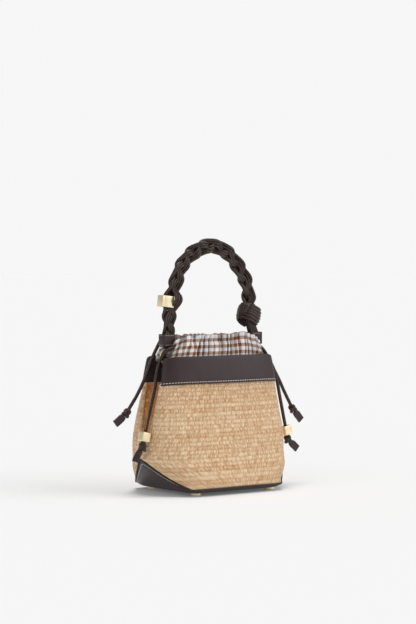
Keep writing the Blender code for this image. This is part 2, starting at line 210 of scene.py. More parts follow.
def cordCurve(runs, radius, closed=False):
    # round cords along runs of points, in one curve object
    deselectAll()
    bpy.ops.curve.primitive_bezier_curve_add()
    piece = bpy.context.object
    piece.data.splines.clear()
    piece.data.dimensions = "3D"
    piece.data.bevel_depth = radius * mm
    piece.data.bevel_resolution = 3
    piece.data.use_fill_caps = not closed
    for run in runs:
        spline = piece.data.splines.new("POLY")
        spline.points.add(len(run) - 1)
        for point, place in zip(spline.points, run):
            point.co = (*(Vector(place) * mm), 1.0)
        spline.use_cyclic_u = closed
    return piece


def toMesh(piece):
    pick(piece)
    bpy.ops.object.convert(target="MESH")
    return bpy.context.object


def along(direction):
    # a turn that takes the upright axis to a direction and keeps the width level
    z = Vector(direction).normalized()
    x = Vector((0, 1, 0)).cross(z).normalized()
    return Matrix((x, z.cross(x), z)).transposed().to_4x4()


# ---- material tools
def newMaterial(name, **sockets):
    made = bpy.data.materials.new(name)
    made.use_nodes = True
    shader = made.node_tree.nodes["Principled BSDF"]
    for key, value in sockets.items():
        shader.inputs[key.replace("_", " ")].default_value = value
    return made


def addNode(material, kind, inputs=None, **settings):
    made = material.node_tree.nodes.new(kind)
    for key, value in settings.items():
        setattr(made, key, value)
    for key, value in (inputs or {}).items():
        if isinstance(value, bpy.types.NodeSocket):
            material.node_tree.links.new(value, made.inputs[key])
        else:
            made.inputs[key].default_value = value
    return made


def maths(material, operation, first, second=0.0, third=0.0):
    values = {0: first, 1: second, 2: third}
    return addNode(material, "ShaderNodeMath", values, operation=operation).outputs[0]


def mixColor(material, amount, first, second):
    return addNode(material, "ShaderNodeMix", {0: amount, 6: first, 7: second}, data_type="RGBA").outputs[2]


def rampColor(material, value, stops):
    made = addNode(material, "ShaderNodeValToRGB", {0: value})
    ramp = made.color_ramp
    while len(ramp.elements) < len(stops):
        ramp.elements.new(0.5)
    for element, (place, color) in zip(ramp.elements, stops):
        element.position = place
        element.color = (*color, 1.0)
    return made.outputs[0]


def noiseValue(material, place, scale, detail):
    values = {"Vector": place, "Scale": scale, "Detail": detail, "Roughness": 0.55}
    return addNode(material, "ShaderNodeTexNoise", values).outputs[0]


def stretchedNoise(material, place, scale, detail=2.0):
    # noise whose grains are finer along some axes than along others
    place = addNode(material, "ShaderNodeMapping", {"Vector": place, "Scale": scale}).outputs[0]
    return noiseValue(material, place, 1.0, detail)


def connect(material, **sockets):
    shader = material.node_tree.nodes["Principled BSDF"]
    for key, value in sockets.items():
        material.node_tree.links.new(value, shader.inputs[key.replace("_", " ")])
    return material


def bumped(material, height, strength, distance):
    return addNode(material, "ShaderNodeBump", {"Height": height, "Strength": strength,
                                                "Distance": distance * mm}).outputs[0]


def objectPlace(material):
    return addNode(material, "ShaderNodeTexCoord").outputs["Object"]


def uvPlace(material):
    return addNode(material, "ShaderNodeTexCoord").outputs["UV"]


# ---- camera and light
cameraPlace = {"location": (-1.5249, -2.0994, 0.2999), "turn": (88.46, 0.0, -35.9), "lens": 115.38}
lightPlan = {
    "worldSeen": 0.926, "worldLight": 0.38,
    # soft lights far away, so the floor is evenly lit: strength, softness in degrees, where each stands
    "suns": [
        {"name": "topLight", "energy": 1.35, "angle": 30.0, "from": (0.10, 0.12, 1.0)},
        {"name": "rightLight", "energy": 1.10, "angle": 55.0, "from": (0.75, -0.75, 0.60)},
        {"name": "leftLight", "energy": 0.46, "angle": 60.0, "from": (-0.90, -0.35, 0.55)},
    ],
    "floorGlow": 0.086, "floorTone": 0.80,
}


def makeCameraAndLight():
    deselectAll()
    turn = [math.radians(angle) for angle in cameraPlace["turn"]]
    bpy.ops.object.camera_add(location=cameraPlace["location"], rotation=turn)
    camera = bpy.context.object
    camera.data.sensor_width = 36.0
    camera.data.lens = cameraPlace["lens"]
    bpy.context.scene.camera = camera
    bpy.context.scene.view_settings.view_transform = "Standard"
    world = bpy.data.worlds.new("paleStudio")
    world.use_nodes = True
    bpy.context.scene.world = world
    nodes, links = world.node_tree.nodes, world.node_tree.links
    seen = nodes.new("ShaderNodeLightPath")
    pickLight = nodes.new("ShaderNodeMix")
    links.new(seen.outputs["Is Camera Ray"], pickLight.inputs[0])
    pickLight.inputs[2].default_value = lightPlan["worldLight"]
    pickLight.inputs[3].default_value = lightPlan["worldSeen"]
    links.new(pickLight.outputs[0], nodes["Background"].inputs["Strength"])
    nodes["Background"].inputs["Color"].default_value = (1, 1, 1, 1)
    for sun in lightPlan["suns"]:
        turn = Vector(sun["from"]).to_track_quat("Z", "Y").to_euler()
        bpy.ops.object.light_add(type="SUN", location=Vector(sun["from"]) * 3, rotation=turn)
        light = bpy.context.object
        light.name = sun["name"]
        light.data.energy = sun["energy"]
        light.data.angle = math.radians(sun["angle"])
    bpy.ops.mesh.primitive_plane_add(size=60)
    floor = bpy.context.object
    floor.name = "paleFloor"
    paper = newMaterial("palePaper", Base_Color=(*(lightPlan["floorTone"],) * 3, 1), Roughness=0.9,
                        Specular_IOR_Level=0.0, Emission_Color=(1, 1, 1, 1),
                        Emission_Strength=lightPlan["floorGlow"])
    floor.data.materials.append(paper)
    print("camera and light set")


makeCameraAndLight()


# ---- leathers, metals and thread
leatherGrain = {"cells": 1150.0, "cloud": 26.0, "fine": 900.0, "depth": 0.25}


def makeLeather(name, dark, light, roughness, grain=0.12, shine=0.40):
    leather = newMaterial(name, Specular_IOR_Level=shine)
    place = objectPlace(leather)
    cells = addNode(leather, "ShaderNodeTexVoronoi", {"Vector": place, "Scale": leatherGrain["cells"]},
                    feature="DISTANCE_TO_EDGE")
    pebble = maths(leather, "MINIMUM", maths(leather, "MULTIPLY", cells.outputs[0], 5.0), 1.0)
    cloud = noiseValue(leather, place, leatherGrain["cloud"], 4.0)
    fine = noiseValue(leather, place, leatherGrain["fine"], 2.0)
    tone = maths(leather, "MULTIPLY_ADD", fine, 0.25, maths(leather, "MULTIPLY", cloud, 0.75))
    color = rampColor(leather, tone, [(0.3, dark), (0.7, light)])
    rough = maths(leather, "ADD", maths(leather, "MULTIPLY", cloud, 0.16), roughness - 0.08)
    height = maths(leather, "ADD", pebble, maths(leather, "MULTIPLY", fine, 0.4))
    bumps = bumped(leather, height, grain, leatherGrain["depth"])
    return connect(leather, Base_Color=color, Roughness=rough, Normal=bumps)


bandLeather = makeLeather("brownLeather", (0.034, 0.020, 0.021), (0.049, 0.030, 0.031), roughness=0.36,
                          shine=0.30)
cordLeather = makeLeather("cordLeather", (0.022, 0.011, 0.008), (0.046, 0.025, 0.018), roughness=0.28,
                          grain=0.03, shine=0.42)
edgeLeather = makeLeather("edgeLeather", (0.008, 0.006, 0.006), (0.014, 0.011, 0.010), roughness=0.36)


def makeGold():
    gold = newMaterial("paleGold", Metallic=0.9, Specular_IOR_Level=0.5)
    place = objectPlace(gold)
    cloud = noiseValue(gold, place, 90.0, 3.0)
    brushed = stretchedNoise(gold, place, (4000.0, 4000.0, 300.0))
    color = rampColor(gold, cloud, [(0.3, (0.90, 0.74, 0.46)), (0.7, (1.0, 0.90, 0.64))])
    rough = maths(gold, "ADD", maths(gold, "MULTIPLY", brushed, 0.16), 0.32)
    return connect(gold, Base_Color=color, Roughness=rough, Normal=bumped(gold, brushed, 0.08, 0.05))


def makeThread():
    thread = newMaterial("creamThread", Roughness=0.75, Sheen_Weight=0.2)
    twist = stretchedNoise(thread, objectPlace(thread), (900.0, 900.0, 2200.0))
    color = rampColor(thread, twist, [(0.3, (0.72, 0.66, 0.58)), (0.7, (0.92, 0.88, 0.80))])
    return connect(thread, Base_Color=color, Normal=bumped(thread, twist, 0.4, 0.1))


paleGold = makeGold()
creamThread = makeThread()

# ---- sewing
def makeStitch(length, radius):
    deselectAll()
    bpy.ops.mesh.primitive_cylinder_add(vertices=6, radius=radius * mm, depth=length * mm,
                                        rotation=(0, math.pi / 2, 0))
    stitch = bpy.context.object
    bpy.ops.object.transform_apply(rotation=True)
    editAll(stitch)
    bpy.ops.mesh.subdivide(number_cuts=1)
    leaveEdit()
    for vertex in stitch.data.vertices:
        end = abs(vertex.co.x) / (length * mm / 2)  # 0 in the middle, 1 where the thread goes in
        narrow = 1.0 - 0.45 * end ** 3
        vertex.co.y *= narrow
        vertex.co.z *= 0.75 * narrow
        vertex.co.z -= 0.35 * radius * mm * end ** 2
    return stitch


def sewAlong(name, path, outward, pitch=3.9, length=2.4, radius=0.46, body="bag"):
    # stitches end to end along a path; outward gives the way the surface faces at each of its points
    stitch = makeStitch(length, radius)
    lengths = runLengths(path)
    count = int(lengths[-1] / pitch)
    made, seg = [], 0
    for k in range(count):
        want = (k + 0.5) * lengths[-1] / count
        while seg < len(path) - 2 and lengths[seg + 1] < want:
            seg += 1
        a, b = path[seg], path[seg + 1]
        t = (want - lengths[seg]) / max(lengths[seg + 1] - lengths[seg], 1e-6)
        x = (b - a).normalized()
        z = outward[seg].lerp(outward[seg + 1], t)
        z = (z - x * z.dot(x)).normalized()
        turn = Matrix((x, z.cross(x), z)).transposed().to_4x4()
        copy = copyOf(stitch)
        copy.matrix_world = Matrix.Translation(a.lerp(b, t) * mm) @ turn
        made.append(copy)
    bpy.data.objects.remove(stitch, do_unlink=True)
    pick(*made)
    bpy.ops.object.join()
    return finishPiece(bpy.context.object, name, creamThread, body=body, smoothAngle=50)


# ---- drawcord tails, their knots, beads and tips
tailPlan = {
    "step": 2.6, "radius": 2.3, "knotRadius": 6.2, "gap": 0.35, "tip": (9.6, 3.2, 15.5), "bead": 12.0,
    "bore": 3.2, "beadCorner": 1.1, "beadLine": 0.35, "beadSink": 0.28, "tipRounding": 0.55,
    "knotCord": 2.5, "knotStretch": (1.34, 2.2, 1.56), "knotReach": 1.9, "stitchTurn": 0.035,
    "routes": {
        "front_left": {
            "route": [(-59.5, -9.5, 186.0), (-69.0, -9.6, 185.5), (-78.5, -8.3, 180.5), (-85.5, -8.0, 170.5),
                      (-90.8, -8.4, 156.0), (-94.6, -9.5, 138.0), (-99.4, -10.4, 122.0),
                      (-104.2, -11.5, 107.0), (-108.8, -12.2, 92.0), (-112.8, -12.8, 78.0),
                      (-115.3, -13.1, 68.0)],
            "tip": (-0.52, 0.05, -0.85), "length": 139.8, "hasBead": True, "tipTurn": 84},
        "rear_left": {
            "route": [(-59.0, 8.5, 190.0), (-65.0, 9.8, 196.0), (-72.0, 9.8, 195.5), (-80.0, 9.2, 184.0),
                      (-86.5, 9.0, 172.5), (-96.2, 10.0, 149.0), (-107.9, 12.0, 126.0),
                      (-119.0, 14.0, 108.5)],
            "tip": (-0.78, 0.04, -0.62), "length": 115.6, "hasBead": False},
        "front_right": {
            "route": [(59.5, -9.5, 186.0), (69.0, -9.6, 185.5), (79.0, -8.0, 179.5), (88.5, -7.8, 167.0),
                      (97.0, -8.2, 152.0), (102.0, -8.0, 137.0), (106.3, -8.0, 118.0), (110.5, -8.0, 100.0),
                      (114.7, -8.0, 82.0), (118.7, -8.0, 65.0)],
            "tip": (0.77, 0.00, -0.64), "length": 144.2, "hasBead": True},
        "rear_right": {
            "route": [(59.0, 8.5, 190.0), (65.0, 9.8, 193.0), (74.0, 9.8, 188.0), (84.0, 6.5, 177.0),
                      (93.5, 4.0, 167.0), (103.0, 3.0, 155.0), (113.0, 2.5, 139.0), (122.0, 2.0, 122.0),
                      (132.0, 1.0, 104.0)],
            "tip": (0.66, -0.05, -0.75), "length": 120.8, "hasBead": False},
    },
}


def makeTailKnot(tail, centre, heading):
    # an overhand knot pulled tight: one closed run of the cord over and under itself
    turn, reach = along(heading), tailPlan["knotReach"]
    wide, deep, tall = tailPlan["knotStretch"]
    run = []
    for k in range(90):
        t = math.tau * k / 90
        x = wide * (math.sin(t) + reach * math.sin(2 * t))
        z = tall * (math.cos(t) - reach * math.cos(2 * t))
        run.append(Vector(centre) + turn @ Vector((x, -deep * math.sin(3 * t), z)))
    piece = toMesh(cordCurve([run], tailPlan["knotCord"], closed=True))
    return finishPiece(piece, "tailKnot_" + tail, cordLeather, replaced=["tail_knot_" + tail])


def makeTailTip(tail, knotCentre, way, turned=0):
    width, depth, length = tailPlan["tip"]
    piece = makeBox(width, depth, length)
    editAll(piece)
    bpy.ops.mesh.subdivide(number_cuts=6)
    leaveEdit()
    for vertex in piece.data.vertices:
        rise = vertex.co.z / (length * mm) + 0.5  # from 0 at one end to 1 at the other
        vertex.co.x *= 1.0 - 0.30 * max(rise - 0.78, 0.0) / 0.22
        vertex.co.y *= 1.0 + 0.35 * max(rise - 0.55, 0.0) / 0.45
        vertex.co.y += 0.7 * mm * math.sin(rise * 2.6)
    addBevel(piece, tailPlan["tipRounding"], 50)
    centre = Vector(knotCentre) + way * (tailPlan["knotRadius"] - 0.8 + length / 2)
    turn = Matrix.Rotation(math.radians(turned), 4, "Z") @ Matrix.Rotation(math.pi, 4, "X")
    piece.matrix_world = Matrix.Translation(centre * mm) @ along(way) @ turn
    return finishPiece(piece, "tailTip_" + tail, bandLeather, replaced=["tail_tip_" + tail])


def makeCubeBead(tail, centre, axis, body):
    plan, size = tailPlan, tailPlan["bead"]
    deselectAll()
    bpy.ops.mesh.primitive_cube_add(size=size * mm)
    piece = bpy.context.object
    editAll(piece)
    bpy.ops.mesh.bevel(offset=plan["beadCorner"] * mm, segments=3, affect="EDGES")
    selectFaces(piece, lambda polygon: polygon.area > (size * mm * 0.6) ** 2)
    bpy.ops.mesh.inset(thickness=plan["beadCorner"] * mm, depth=0, use_individual=True)
    bpy.ops.mesh.inset(thickness=plan["beadLine"] * mm, depth=-plan["beadSink"] * mm, use_individual=True)
    leaveEdit()
    bpy.ops.mesh.primitive_cylinder_add(radius=tailPlan["bore"] * mm, depth=0.03, vertices=32)
    drill = bpy.context.object
    hole = piece.modifiers.new("bore", "BOOLEAN")
    hole.operation, hole.object = "DIFFERENCE", drill
    applyModifiers(piece)
    bpy.data.objects.remove(drill, do_unlink=True)
    piece.matrix_world = Matrix.Translation(Vector(centre) * mm) @ along(axis)
    return finishPiece(piece, "cubeBead_" + tail, paleGold, body=body,
                       replaced=["cord_bead_" + tail], smoothAngle=30)


def makeTail(tail, plan):
    side = 1 if plan["route"][0][0] > 0 else -1
    points = smoothRoute(plan["route"], tailPlan["step"])
    heading = (points[-1] - points[-2]).normalized()
    knotCentre = points[-1] + heading * (tailPlan["knotRadius"] + tailPlan["gap"])
    way = Vector(plan["tip"]).normalized()
    cord = cordCurve([points], tailPlan["radius"])
    finishPiece(cord, "tailCord_" + tail, cordLeather, replaced=["cord_tail_" + tail])
    onCord = [makeTailKnot(tail, knotCentre, heading),
              makeTailTip(tail, knotCentre, way, plan.get("tipTurn", 0))]
    sewn, outward = [], []
    for k, point in enumerate(points[3:-6]):
        ahead = (points[k + 4] - points[k + 2]).normalized()
        across = ahead.cross(Vector((0, 1, 0))).normalized() * side
        turn = 0.5 + tailPlan["stitchTurn"] * k
        way = across * math.sin(turn) - ahead.cross(across) * math.cos(turn) * side
        sewn.append(point + way * (tailPlan["radius"] - 0.05))
        outward.append(way)
    onCord.append(sewAlong("tailStitches_" + tail, sewn, outward, pitch=2.9, length=1.9, radius=0.26))
    if plan["hasBead"]:
        centre = points[-1] - heading * (tailPlan["bead"] / 2 + 0.6)
        body = "bead_left" if tail == "front_left" else "bead_right"
        onCord.append(makeCubeBead(tail, centre, -heading, body))
    [value * mm for value in plan["route"][0]]


for tailName, tailRow in tailPlan["routes"].items():
    makeTail(tailName, tailRow)
print("drawcord tails made")

# ---- the shape that raffia, band and base share, in millimetres
bodyShape = {
    # height, half length at the fold, half depth at the fold, half depth at the middle, squareness
    "levels": [(46.0, 110.0, 0.0, 54.0, 2.6), (75.0, 104.0, 10.6, 48.0, 3.0), (106.0, 98.7, 14.8, 42.0, 2.8),
               (140.0, 93.0, 18.0, 35.0, 2.2), (175.0, 88.0, 15.5, 30.0, 2.0)],
    "seamRows": [(0.0, 66.0, 3.0), (1 / 3, 63.0, 3.0), (2 / 3, 58.5, 3.0), (1.0, 54.0, 2.6)],
    "corner": (77.0, 64.0, 8.0), "apex": (110.0, 46.0), "sag": 3.5, "seamLow": 10.0,
    "pleatTopX": 46.0, "pleatRound": 2.5, "bandBottom": 140.0, "bandTop": 175.0,
}


def eased(rows, place):
    # a smooth curve through rows of numbers, at a value of their first column
    place = min(max(place, rows[0][0]), rows[-1][0])
    last = len(rows) - 1
    k = next(i for i in range(last) if place <= rows[i + 1][0])
    t = (place - rows[k][0]) / (rows[k + 1][0] - rows[k][0])
    span = rows[k + 1][0] - rows[k][0]

    def slope(i, column):
        low, high = max(i - 1, 0), min(i + 1, last)
        return (rows[high][column] - rows[low][column]) / (rows[high][0] - rows[low][0]) * span

    out = []
    for column in range(1, len(rows[0])):
        a, b = rows[k][column], rows[k + 1][column]
        out.append(a * (1 + 2 * t) * (1 - t) ** 2 + b * t * t * (3 - 2 * t)
                   + slope(k, column) * t * (1 - t) ** 2 - slope(k + 1, column) * t * t * (1 - t))
    return out


def seamPoint(t):
    x, y, z = bodyShape["corner"]
    topX, topZ = bodyShape["apex"]
    return x + (topX - x) * t, y * (1 - t), z + (topZ - z) * t - 4 * bodyShape["sag"] * t * (1 - t)


def levelAt(z):
    # half length and half depth at the fold, half depth at the middle, squareness
    if z >= bodyShape["apex"][1]:
        return eased(bodyShape["levels"], z)
    # below the fold's foot the wall ends at the seam: the share of the way along the seam, from the height
    low, bend = bodyShape["seamLow"], 4 * bodyShape["sag"]
    climb = bodyShape["apex"][1] - low - bend
    t = (math.sqrt(climb ** 2 + 4 * bend * (max(z, low) - low)) - climb) / (2 * bend)
    x, y, _ = seamPoint(t)
    middle, square = eased(bodyShape["seamRows"], t)
    return x, y, middle, square


wallAngles = {}


def evenAngle(across, z):
    # the angle on the wall's outline that lies this share of the way along it, from the middle to the fold
    key = round(z * 4)
    if key not in wallAngles:
        endX, endY, middle, square = levelAt(key / 4)
        angles = [math.pi / 2 * (k / 160) ** 1.6 for k in range(81)]
        angles = angles + [math.pi / 2 - a for a in reversed(angles) if math.pi / 2 - a > angles[-1] + 1e-9]
        spots = [(endX * math.sin(a) ** (2 / square),
                  endY + (middle - endY) * max(math.cos(a), 0) ** (2 / square)) for a in angles]
        lengths = [0.0]
        for (x0, y0), (x1, y1) in zip(spots, spots[1:]):
            lengths.append(lengths[-1] + math.hypot(x1 - x0, y1 - y0))
        wallAngles[key] = (angles, [length / lengths[-1] for length in lengths])
    angles, shares = wallAngles[key]
    k = min(max(bisect.bisect_left(shares, across), 1), len(shares) - 1)
    t = (across - shares[k - 1]) / max(shares[k] - shares[k - 1], 1e-9)
    return angles[k - 1] + (angles[k] - angles[k - 1]) * t


# how the filled bag stands: its right end drawn in, its left end full, its lower corners rounded;
# a pair is where a change starts and how far it takes to come in
stance = {
    "drawnIn": 4.6, "drawnX": (15, 70),
    "swell": 2.8, "swellX": (20, 70), "swellY": (-22, 30), "swellZ": (5, 140), "frontShare": 0.3,
    "cornerIn": (4.6, 3.2), "cornerX": (50, 26), "cornerY": (36, 28), "cornerZ": (40, 20), "leftCorner": 0.35,
}


def past(place, key):
    start, reach = stance[key]
    return easeStep((place - start) / reach)


def settled(x, y, z):
    if x > 0:
        x -= stance["drawnIn"] * past(x, "drawnX")
    else:
        swell = stance["swell"] * (stance["frontShare"] + (1 - stance["frontShare"]) * past(y, "swellY"))
        low, tall = stance["swellZ"]
        x -= swell * past(-x, "swellX") * math.sin(math.pi * max(0.0, min(1.0, (z - low) / tall)))
    high, fall = stance["cornerZ"]
    pull = past(abs(x), "cornerX") * past(abs(y), "cornerY") * easeStep((high - z) / fall)
    pull *= 1.0 if x > 0 else stance["leftCorner"]
    inX, inY = stance["cornerIn"]
    return x - math.copysign(inX * pull, x), y - math.copysign(inY * pull, y), z


foldOver = 0.06  # how far past the fold, as a share of the half width, the wall rolls in


def wallPoint(across, z, outset=0.0, side=-1, roll=0.0):
    # across runs from -1 to 1 between the folds; past them the wall rolls into the end pleat
    endX, endY, middle, square = levelAt(z)
    angle = evenAngle(min(1.0, abs(across)), z)
    x = (endX + outset) * math.sin(angle) ** (2 / square)
    y = endY + (middle + outset - endY) * max(math.cos(angle), 0.0) ** (2 / square)
    beyond = max(abs(across) - 1.0, 0.0)
    if beyond and roll:
        radius = min(roll, 0.42 * endY)
        turn = beyond / foldOver * math.pi / 2
        x -= radius * (1 - math.cos(turn))
        y -= radius * math.sin(turn)
    return settled(math.copysign(x, across), side * y, z)


def pleatInnerX(z):
    topX, low = bodyShape["apex"]
    high = bodyShape["bandTop"]
    return bodyShape["pleatTopX"] + (topX - bodyShape["pleatTopX"]) * (high - z) / (high - low)


def pleatPoint(w, z, outset=0.0, shy=0.0, side=1):
    # w runs from the front fold (-1) to the back fold (1)
    endX, endY, _, _ = levelAt(z)
    inner = pleatInnerX(z)
    x = inner + (endX + outset - inner) * abs(w) ** bodyShape["pleatRound"]
    return settled(side * x, w * max(endY - shy, 0.0), z)


# ---- woven raffia
weave = {
    "rib": 5.25, "wrap": 2.1, "ribRise": 0.30, "wrapRise": 0.13, "wave": 0.6, "columns": 421, "rows": 112,
    "bottom": 9.6, "top": 141.0, "thick": 1.4, "pleatRows": 105, "pleatColumns": 60, "pleatBottom": 47.5,
    "pleatThick": 1.2,
    # how much of the tone comes from one wrap, from its rib, from soft patches, fibres, specks and columns
    "each": 0.20, "row": 0.08, "patch": 0.16, "fibre": 0.46, "speckle": 0.74, "column": 0.03,
    # grooveShade is how far the grooves between wraps and ribs are darkened, painted shade
    "grooveShade": 0.60, "wrapWidth": 0.40, "ribWidth": 0.38,
}


def makeRaffia(name, paleTone, midTone, deepTone, grooveShadeTone):
    raffia = newMaterial(name, Specular_IOR_Level=0.35, Sheen_Weight=0.15, Sheen_Roughness=0.4)
    place = uvPlace(raffia)
    apart = addNode(raffia, "ShaderNodeSeparateXYZ", {0: place})
    wobble = stretchedNoise(raffia, place, (60.0, 190.0, 1.0))
    u = maths(raffia, "MULTIPLY_ADD", wobble, 0.0007, apart.outputs[0])
    rib = maths(raffia, "MULTIPLY", apart.outputs[1], 1000 / weave["rib"])
    ribNumber = maths(raffia, "FLOOR", rib)
    ribPhase = maths(raffia, "FRACT", rib)
    shift = maths(raffia, "MULTIPLY", ribNumber, 0.5)
    wrap = maths(raffia, "MULTIPLY_ADD", u, 1000 / weave["wrap"], shift)
    wrapNumber = maths(raffia, "FLOOR", wrap)
    wrapPhase = maths(raffia, "FRACT", wrap)
    cell = addNode(raffia, "ShaderNodeCombineXYZ", {0: wrapNumber, 1: ribNumber})
    each = addNode(raffia, "ShaderNodeTexWhiteNoise", {"Vector": cell.outputs[0]}, noise_dimensions="3D")
    column = addNode(raffia, "ShaderNodeTexWhiteNoise", {"W": wrapNumber}, noise_dimensions="1D")
    row = addNode(raffia, "ShaderNodeTexWhiteNoise", {"W": ribNumber}, noise_dimensions="1D")
    patch = stretchedNoise(raffia, place, (16.0, 190.0, 1.0), 3.0)
    fibre = stretchedNoise(raffia, place, (2600.0, 260.0, 1.0), 3.0)
    speckle = stretchedNoise(raffia, place, (900.0, 300.0, 1.0))
    tone = maths(raffia, "MULTIPLY", each.outputs[0], weave["each"])
    for part, value in (("row", row.outputs[0]), ("patch", patch), ("fibre", fibre), ("speckle", speckle),
                        ("column", column.outputs[0])):
        tone = maths(raffia, "MULTIPLY_ADD", value, weave[part], tone)
    color = rampColor(raffia, tone, [(0.60, deepTone), (0.80, midTone), (0.98, paleTone)])
    wrapDip = maths(raffia, "SINE", maths(raffia, "MULTIPLY", wrapPhase, math.pi))
    ribDip = maths(raffia, "SINE", maths(raffia, "MULTIPLY", ribPhase, math.pi))
    dip = maths(raffia, "MULTIPLY", maths(raffia, "POWER", wrapDip, weave["wrapWidth"]),
                maths(raffia, "POWER", ribDip, weave["ribWidth"]))
    # painted shade: the grooves between wraps and between ribs are darkened towards the groove shade tone
    shade = maths(raffia, "MULTIPLY", maths(raffia, "SUBTRACT", 1.0, dip), weave["grooveShade"])
    color = mixColor(raffia, shade, color, (*grooveShadeTone, 1.0))
    height = maths(raffia, "MULTIPLY_ADD", fibre, 0.45, wrapDip)
    height = maths(raffia, "ADD", height, maths(raffia, "MULTIPLY", ribDip, 0.5))
    rough = maths(raffia, "MULTIPLY_ADD", fibre, 0.25, 0.46)
    return connect(raffia, Base_Color=color, Roughness=rough, Normal=bumped(raffia, height, 0.55, 0.5))


wallRaffia = makeRaffia("wallRaffia", (0.98, 0.80, 0.54), (0.76, 0.50, 0.285), (0.50, 0.22, 0.07),
                        (0.36, 0.16, 0.05))
# the end pleats' raffia: a darker, more orange copy of the wall raffia, painted shade for the inside of the
# pleat
pleatRaffiaPaintedShade = makeRaffia("pleatRaffiaPaintedShade", (0.90, 0.49, 0.19), (0.66, 0.28, 0.075), (0.46, 0.15, 0.028),
                         (0.34, 0.11, 0.02))


def weaveRise(column, z):
    # how far a point of the weave stands out: ribs, the wraps over them, and a soft overall wave
    rib = (z - weave["bottom"]) / weave["rib"]
    phase = math.sin(math.pi * (rib % 1.0)) ** 0.7
    number = math.floor(rib)
    uneven = noise.noise(Vector((column * 0.05, number * 3.1, 1.7)))
    wraps = weave["wrapRise"] * math.cos(math.tau * (column / 3 + 0.5 * (number % 2)))
    return weave["ribRise"] * phase * (1 + 0.5 * uneven) + wraps * phase - weave["ribRise"]


def makeRaffiaWall(name, side, node):
    columns, bottom, top = weave["columns"], weave["bottom"], weave["top"]

    def shape(u, v):
        across = (2 * u - 1) * (1 + foldOver)
        z = bottom + (top - bottom) * v
        wave = weave["wave"] * noise.noise(Vector((across * 2.3 + 7 * side, z * 0.021, 3.3)))
        fade = min(1.0, (1 + foldOver - abs(across)) / 0.10)
        return wallPoint(across, z, weaveRise(u * columns, z) + wave * fade, side, roll=3.2)

    size = (columns * weave["wrap"] / 3 * mm, (top - bottom) * mm)
    piece = gridPiece(columns, weave["rows"], shape, size, faceOut=lambda c: Vector((0, side, 0)))
    addThickness(piece, weave["thick"])
    return finishPiece(piece, name, wallRaffia, replaced=[node], smoothAngle=0)


def makeGusset(name, side, node):
    columns, bottom, top = weave["pleatColumns"], weave["pleatBottom"], weave["top"]

    def shape(u, v):
        z = bottom + (top - bottom) * v
        x, y, z = pleatPoint(2 * u - 1, z, -1.6, 1.2, side)
        return x + side * 0.7 * weaveRise(u * columns, z), y, z

    size = (columns * weave["wrap"] / 3 * mm, (top - bottom) * mm)
    piece = gridPiece(columns, weave["pleatRows"], shape, size, faceOut=lambda c: Vector((side, 0, 0)))
    # the pleat wears the darker copy of the raffia, painted shade
    addThickness(piece, weave["pleatThick"])
    return finishPiece(piece, name, pleatRaffiaPaintedShade, replaced=[node], smoothAngle=0)


makeRaffiaWall("raffiaFront", -1, "raffia_front")
makeRaffiaWall("raffiaBack", 1, "raffia_back")
makeGusset("raffiaPleat_left", -1, "gusset_left")
makeGusset("raffiaPleat_right", 1, "gusset_right")
print("raffia body made")


# ---- leather band round the mouth
bandPlan = {
    "front": 90, "pleat": 44, "stands": 3.1, "thick": 1.6, "droop": 2.2, "stitchRise": 2.7, "softness": 7,
    "corner": 4.5, "tall": 35.0, "rounding": 0.35,
    # rise above the lower edge and how far the surface stands out there
    "profile": [(0.0, -0.35), (0.35, -0.05), (1.4, 0.05), (2.1, -0.10), (2.7, -0.28), (3.3, -0.10),
                (4.2, 0.10), (8.0, 0.20), (13.0, 0.25), (18.0, 0.25), (23.0, 0.20), (28.0, 0.10), (32.0, 0.0),
                (33.8, -0.25), (34.7, -0.7), (35.0, -1.2)],
}


def bandLoop(rise, outset):
    # one closed run round the band: front, right pleat, back, left pleat
    loop = []
    bottom, droop, tall = bodyShape["bandBottom"], bandPlan["droop"], bandPlan["tall"]
    dip = bandPlan["corner"] * (rise / tall) ** 3
    for side in (-1, 1):
        for k in range(bandPlan["front"]):
            across = (2 * k / bandPlan["front"] - 1) * -side
            z = bottom - droop * abs(across) ** 5
            z += rise * (1 + droop * abs(across) ** 5 / tall) - dip * abs(across) ** 16
            loop.append(Vector(wallPoint(across, z, outset, side)))
        for k in range(bandPlan["pleat"]):
            w = (2 * k / bandPlan["pleat"] - 1) * -side
            z = bottom - droop + rise * (1 + droop / tall) - dip * abs(w) ** 8
            loop.append(Vector(pleatPoint(w, z, outset, 0.6 - outset * 0.25, side=-side)))
    return softenLoop(loop, bandPlan["softness"])


def loopOutward(loop):
    # the level way out of a closed run of points
    out = []
    for k in range(len(loop)):
        ahead = loop[(k + 1) % len(loop)] - loop[k - 1]
        out.append(Vector((ahead.y, -ahead.x, 0)).normalized())
    return out


def makeBand():
    profile = bandPlan["profile"]
    loops = [bandLoop(rise, bandPlan["stands"] + outset) for rise, outset in profile]
    columns, rows = len(loops[0]), len(profile) - 1

    def shape(u, v):
        point = loops[round(v * rows)][round(u * columns) % columns]
        creep = 0.3 * noise.noise(point * 0.06)
        return point + Vector((0, math.copysign(creep, point.y), 0))

    piece = gridPiece(columns, rows, shape, faceOut=lambda c: Vector((0, c.y, 0)))
    addThickness(piece, bandPlan["thick"])
    addBevel(piece, bandPlan["rounding"], 60)
    finishPiece(piece, "leatherBand", bandLeather, smoothAngle=50,
                replaced=["band_front", "band_back", "band_end_left", "band_end_right"])
    sewn = bandLoop(bandPlan["stitchRise"], bandPlan["stands"] + 0.02)
    sewn.append(sewn[0])
    outward = loopOutward(sewn[:-1])
    sewAlong("bandStitches", sewn, outward + outward[:1])


makeBand()
print("leather band made")

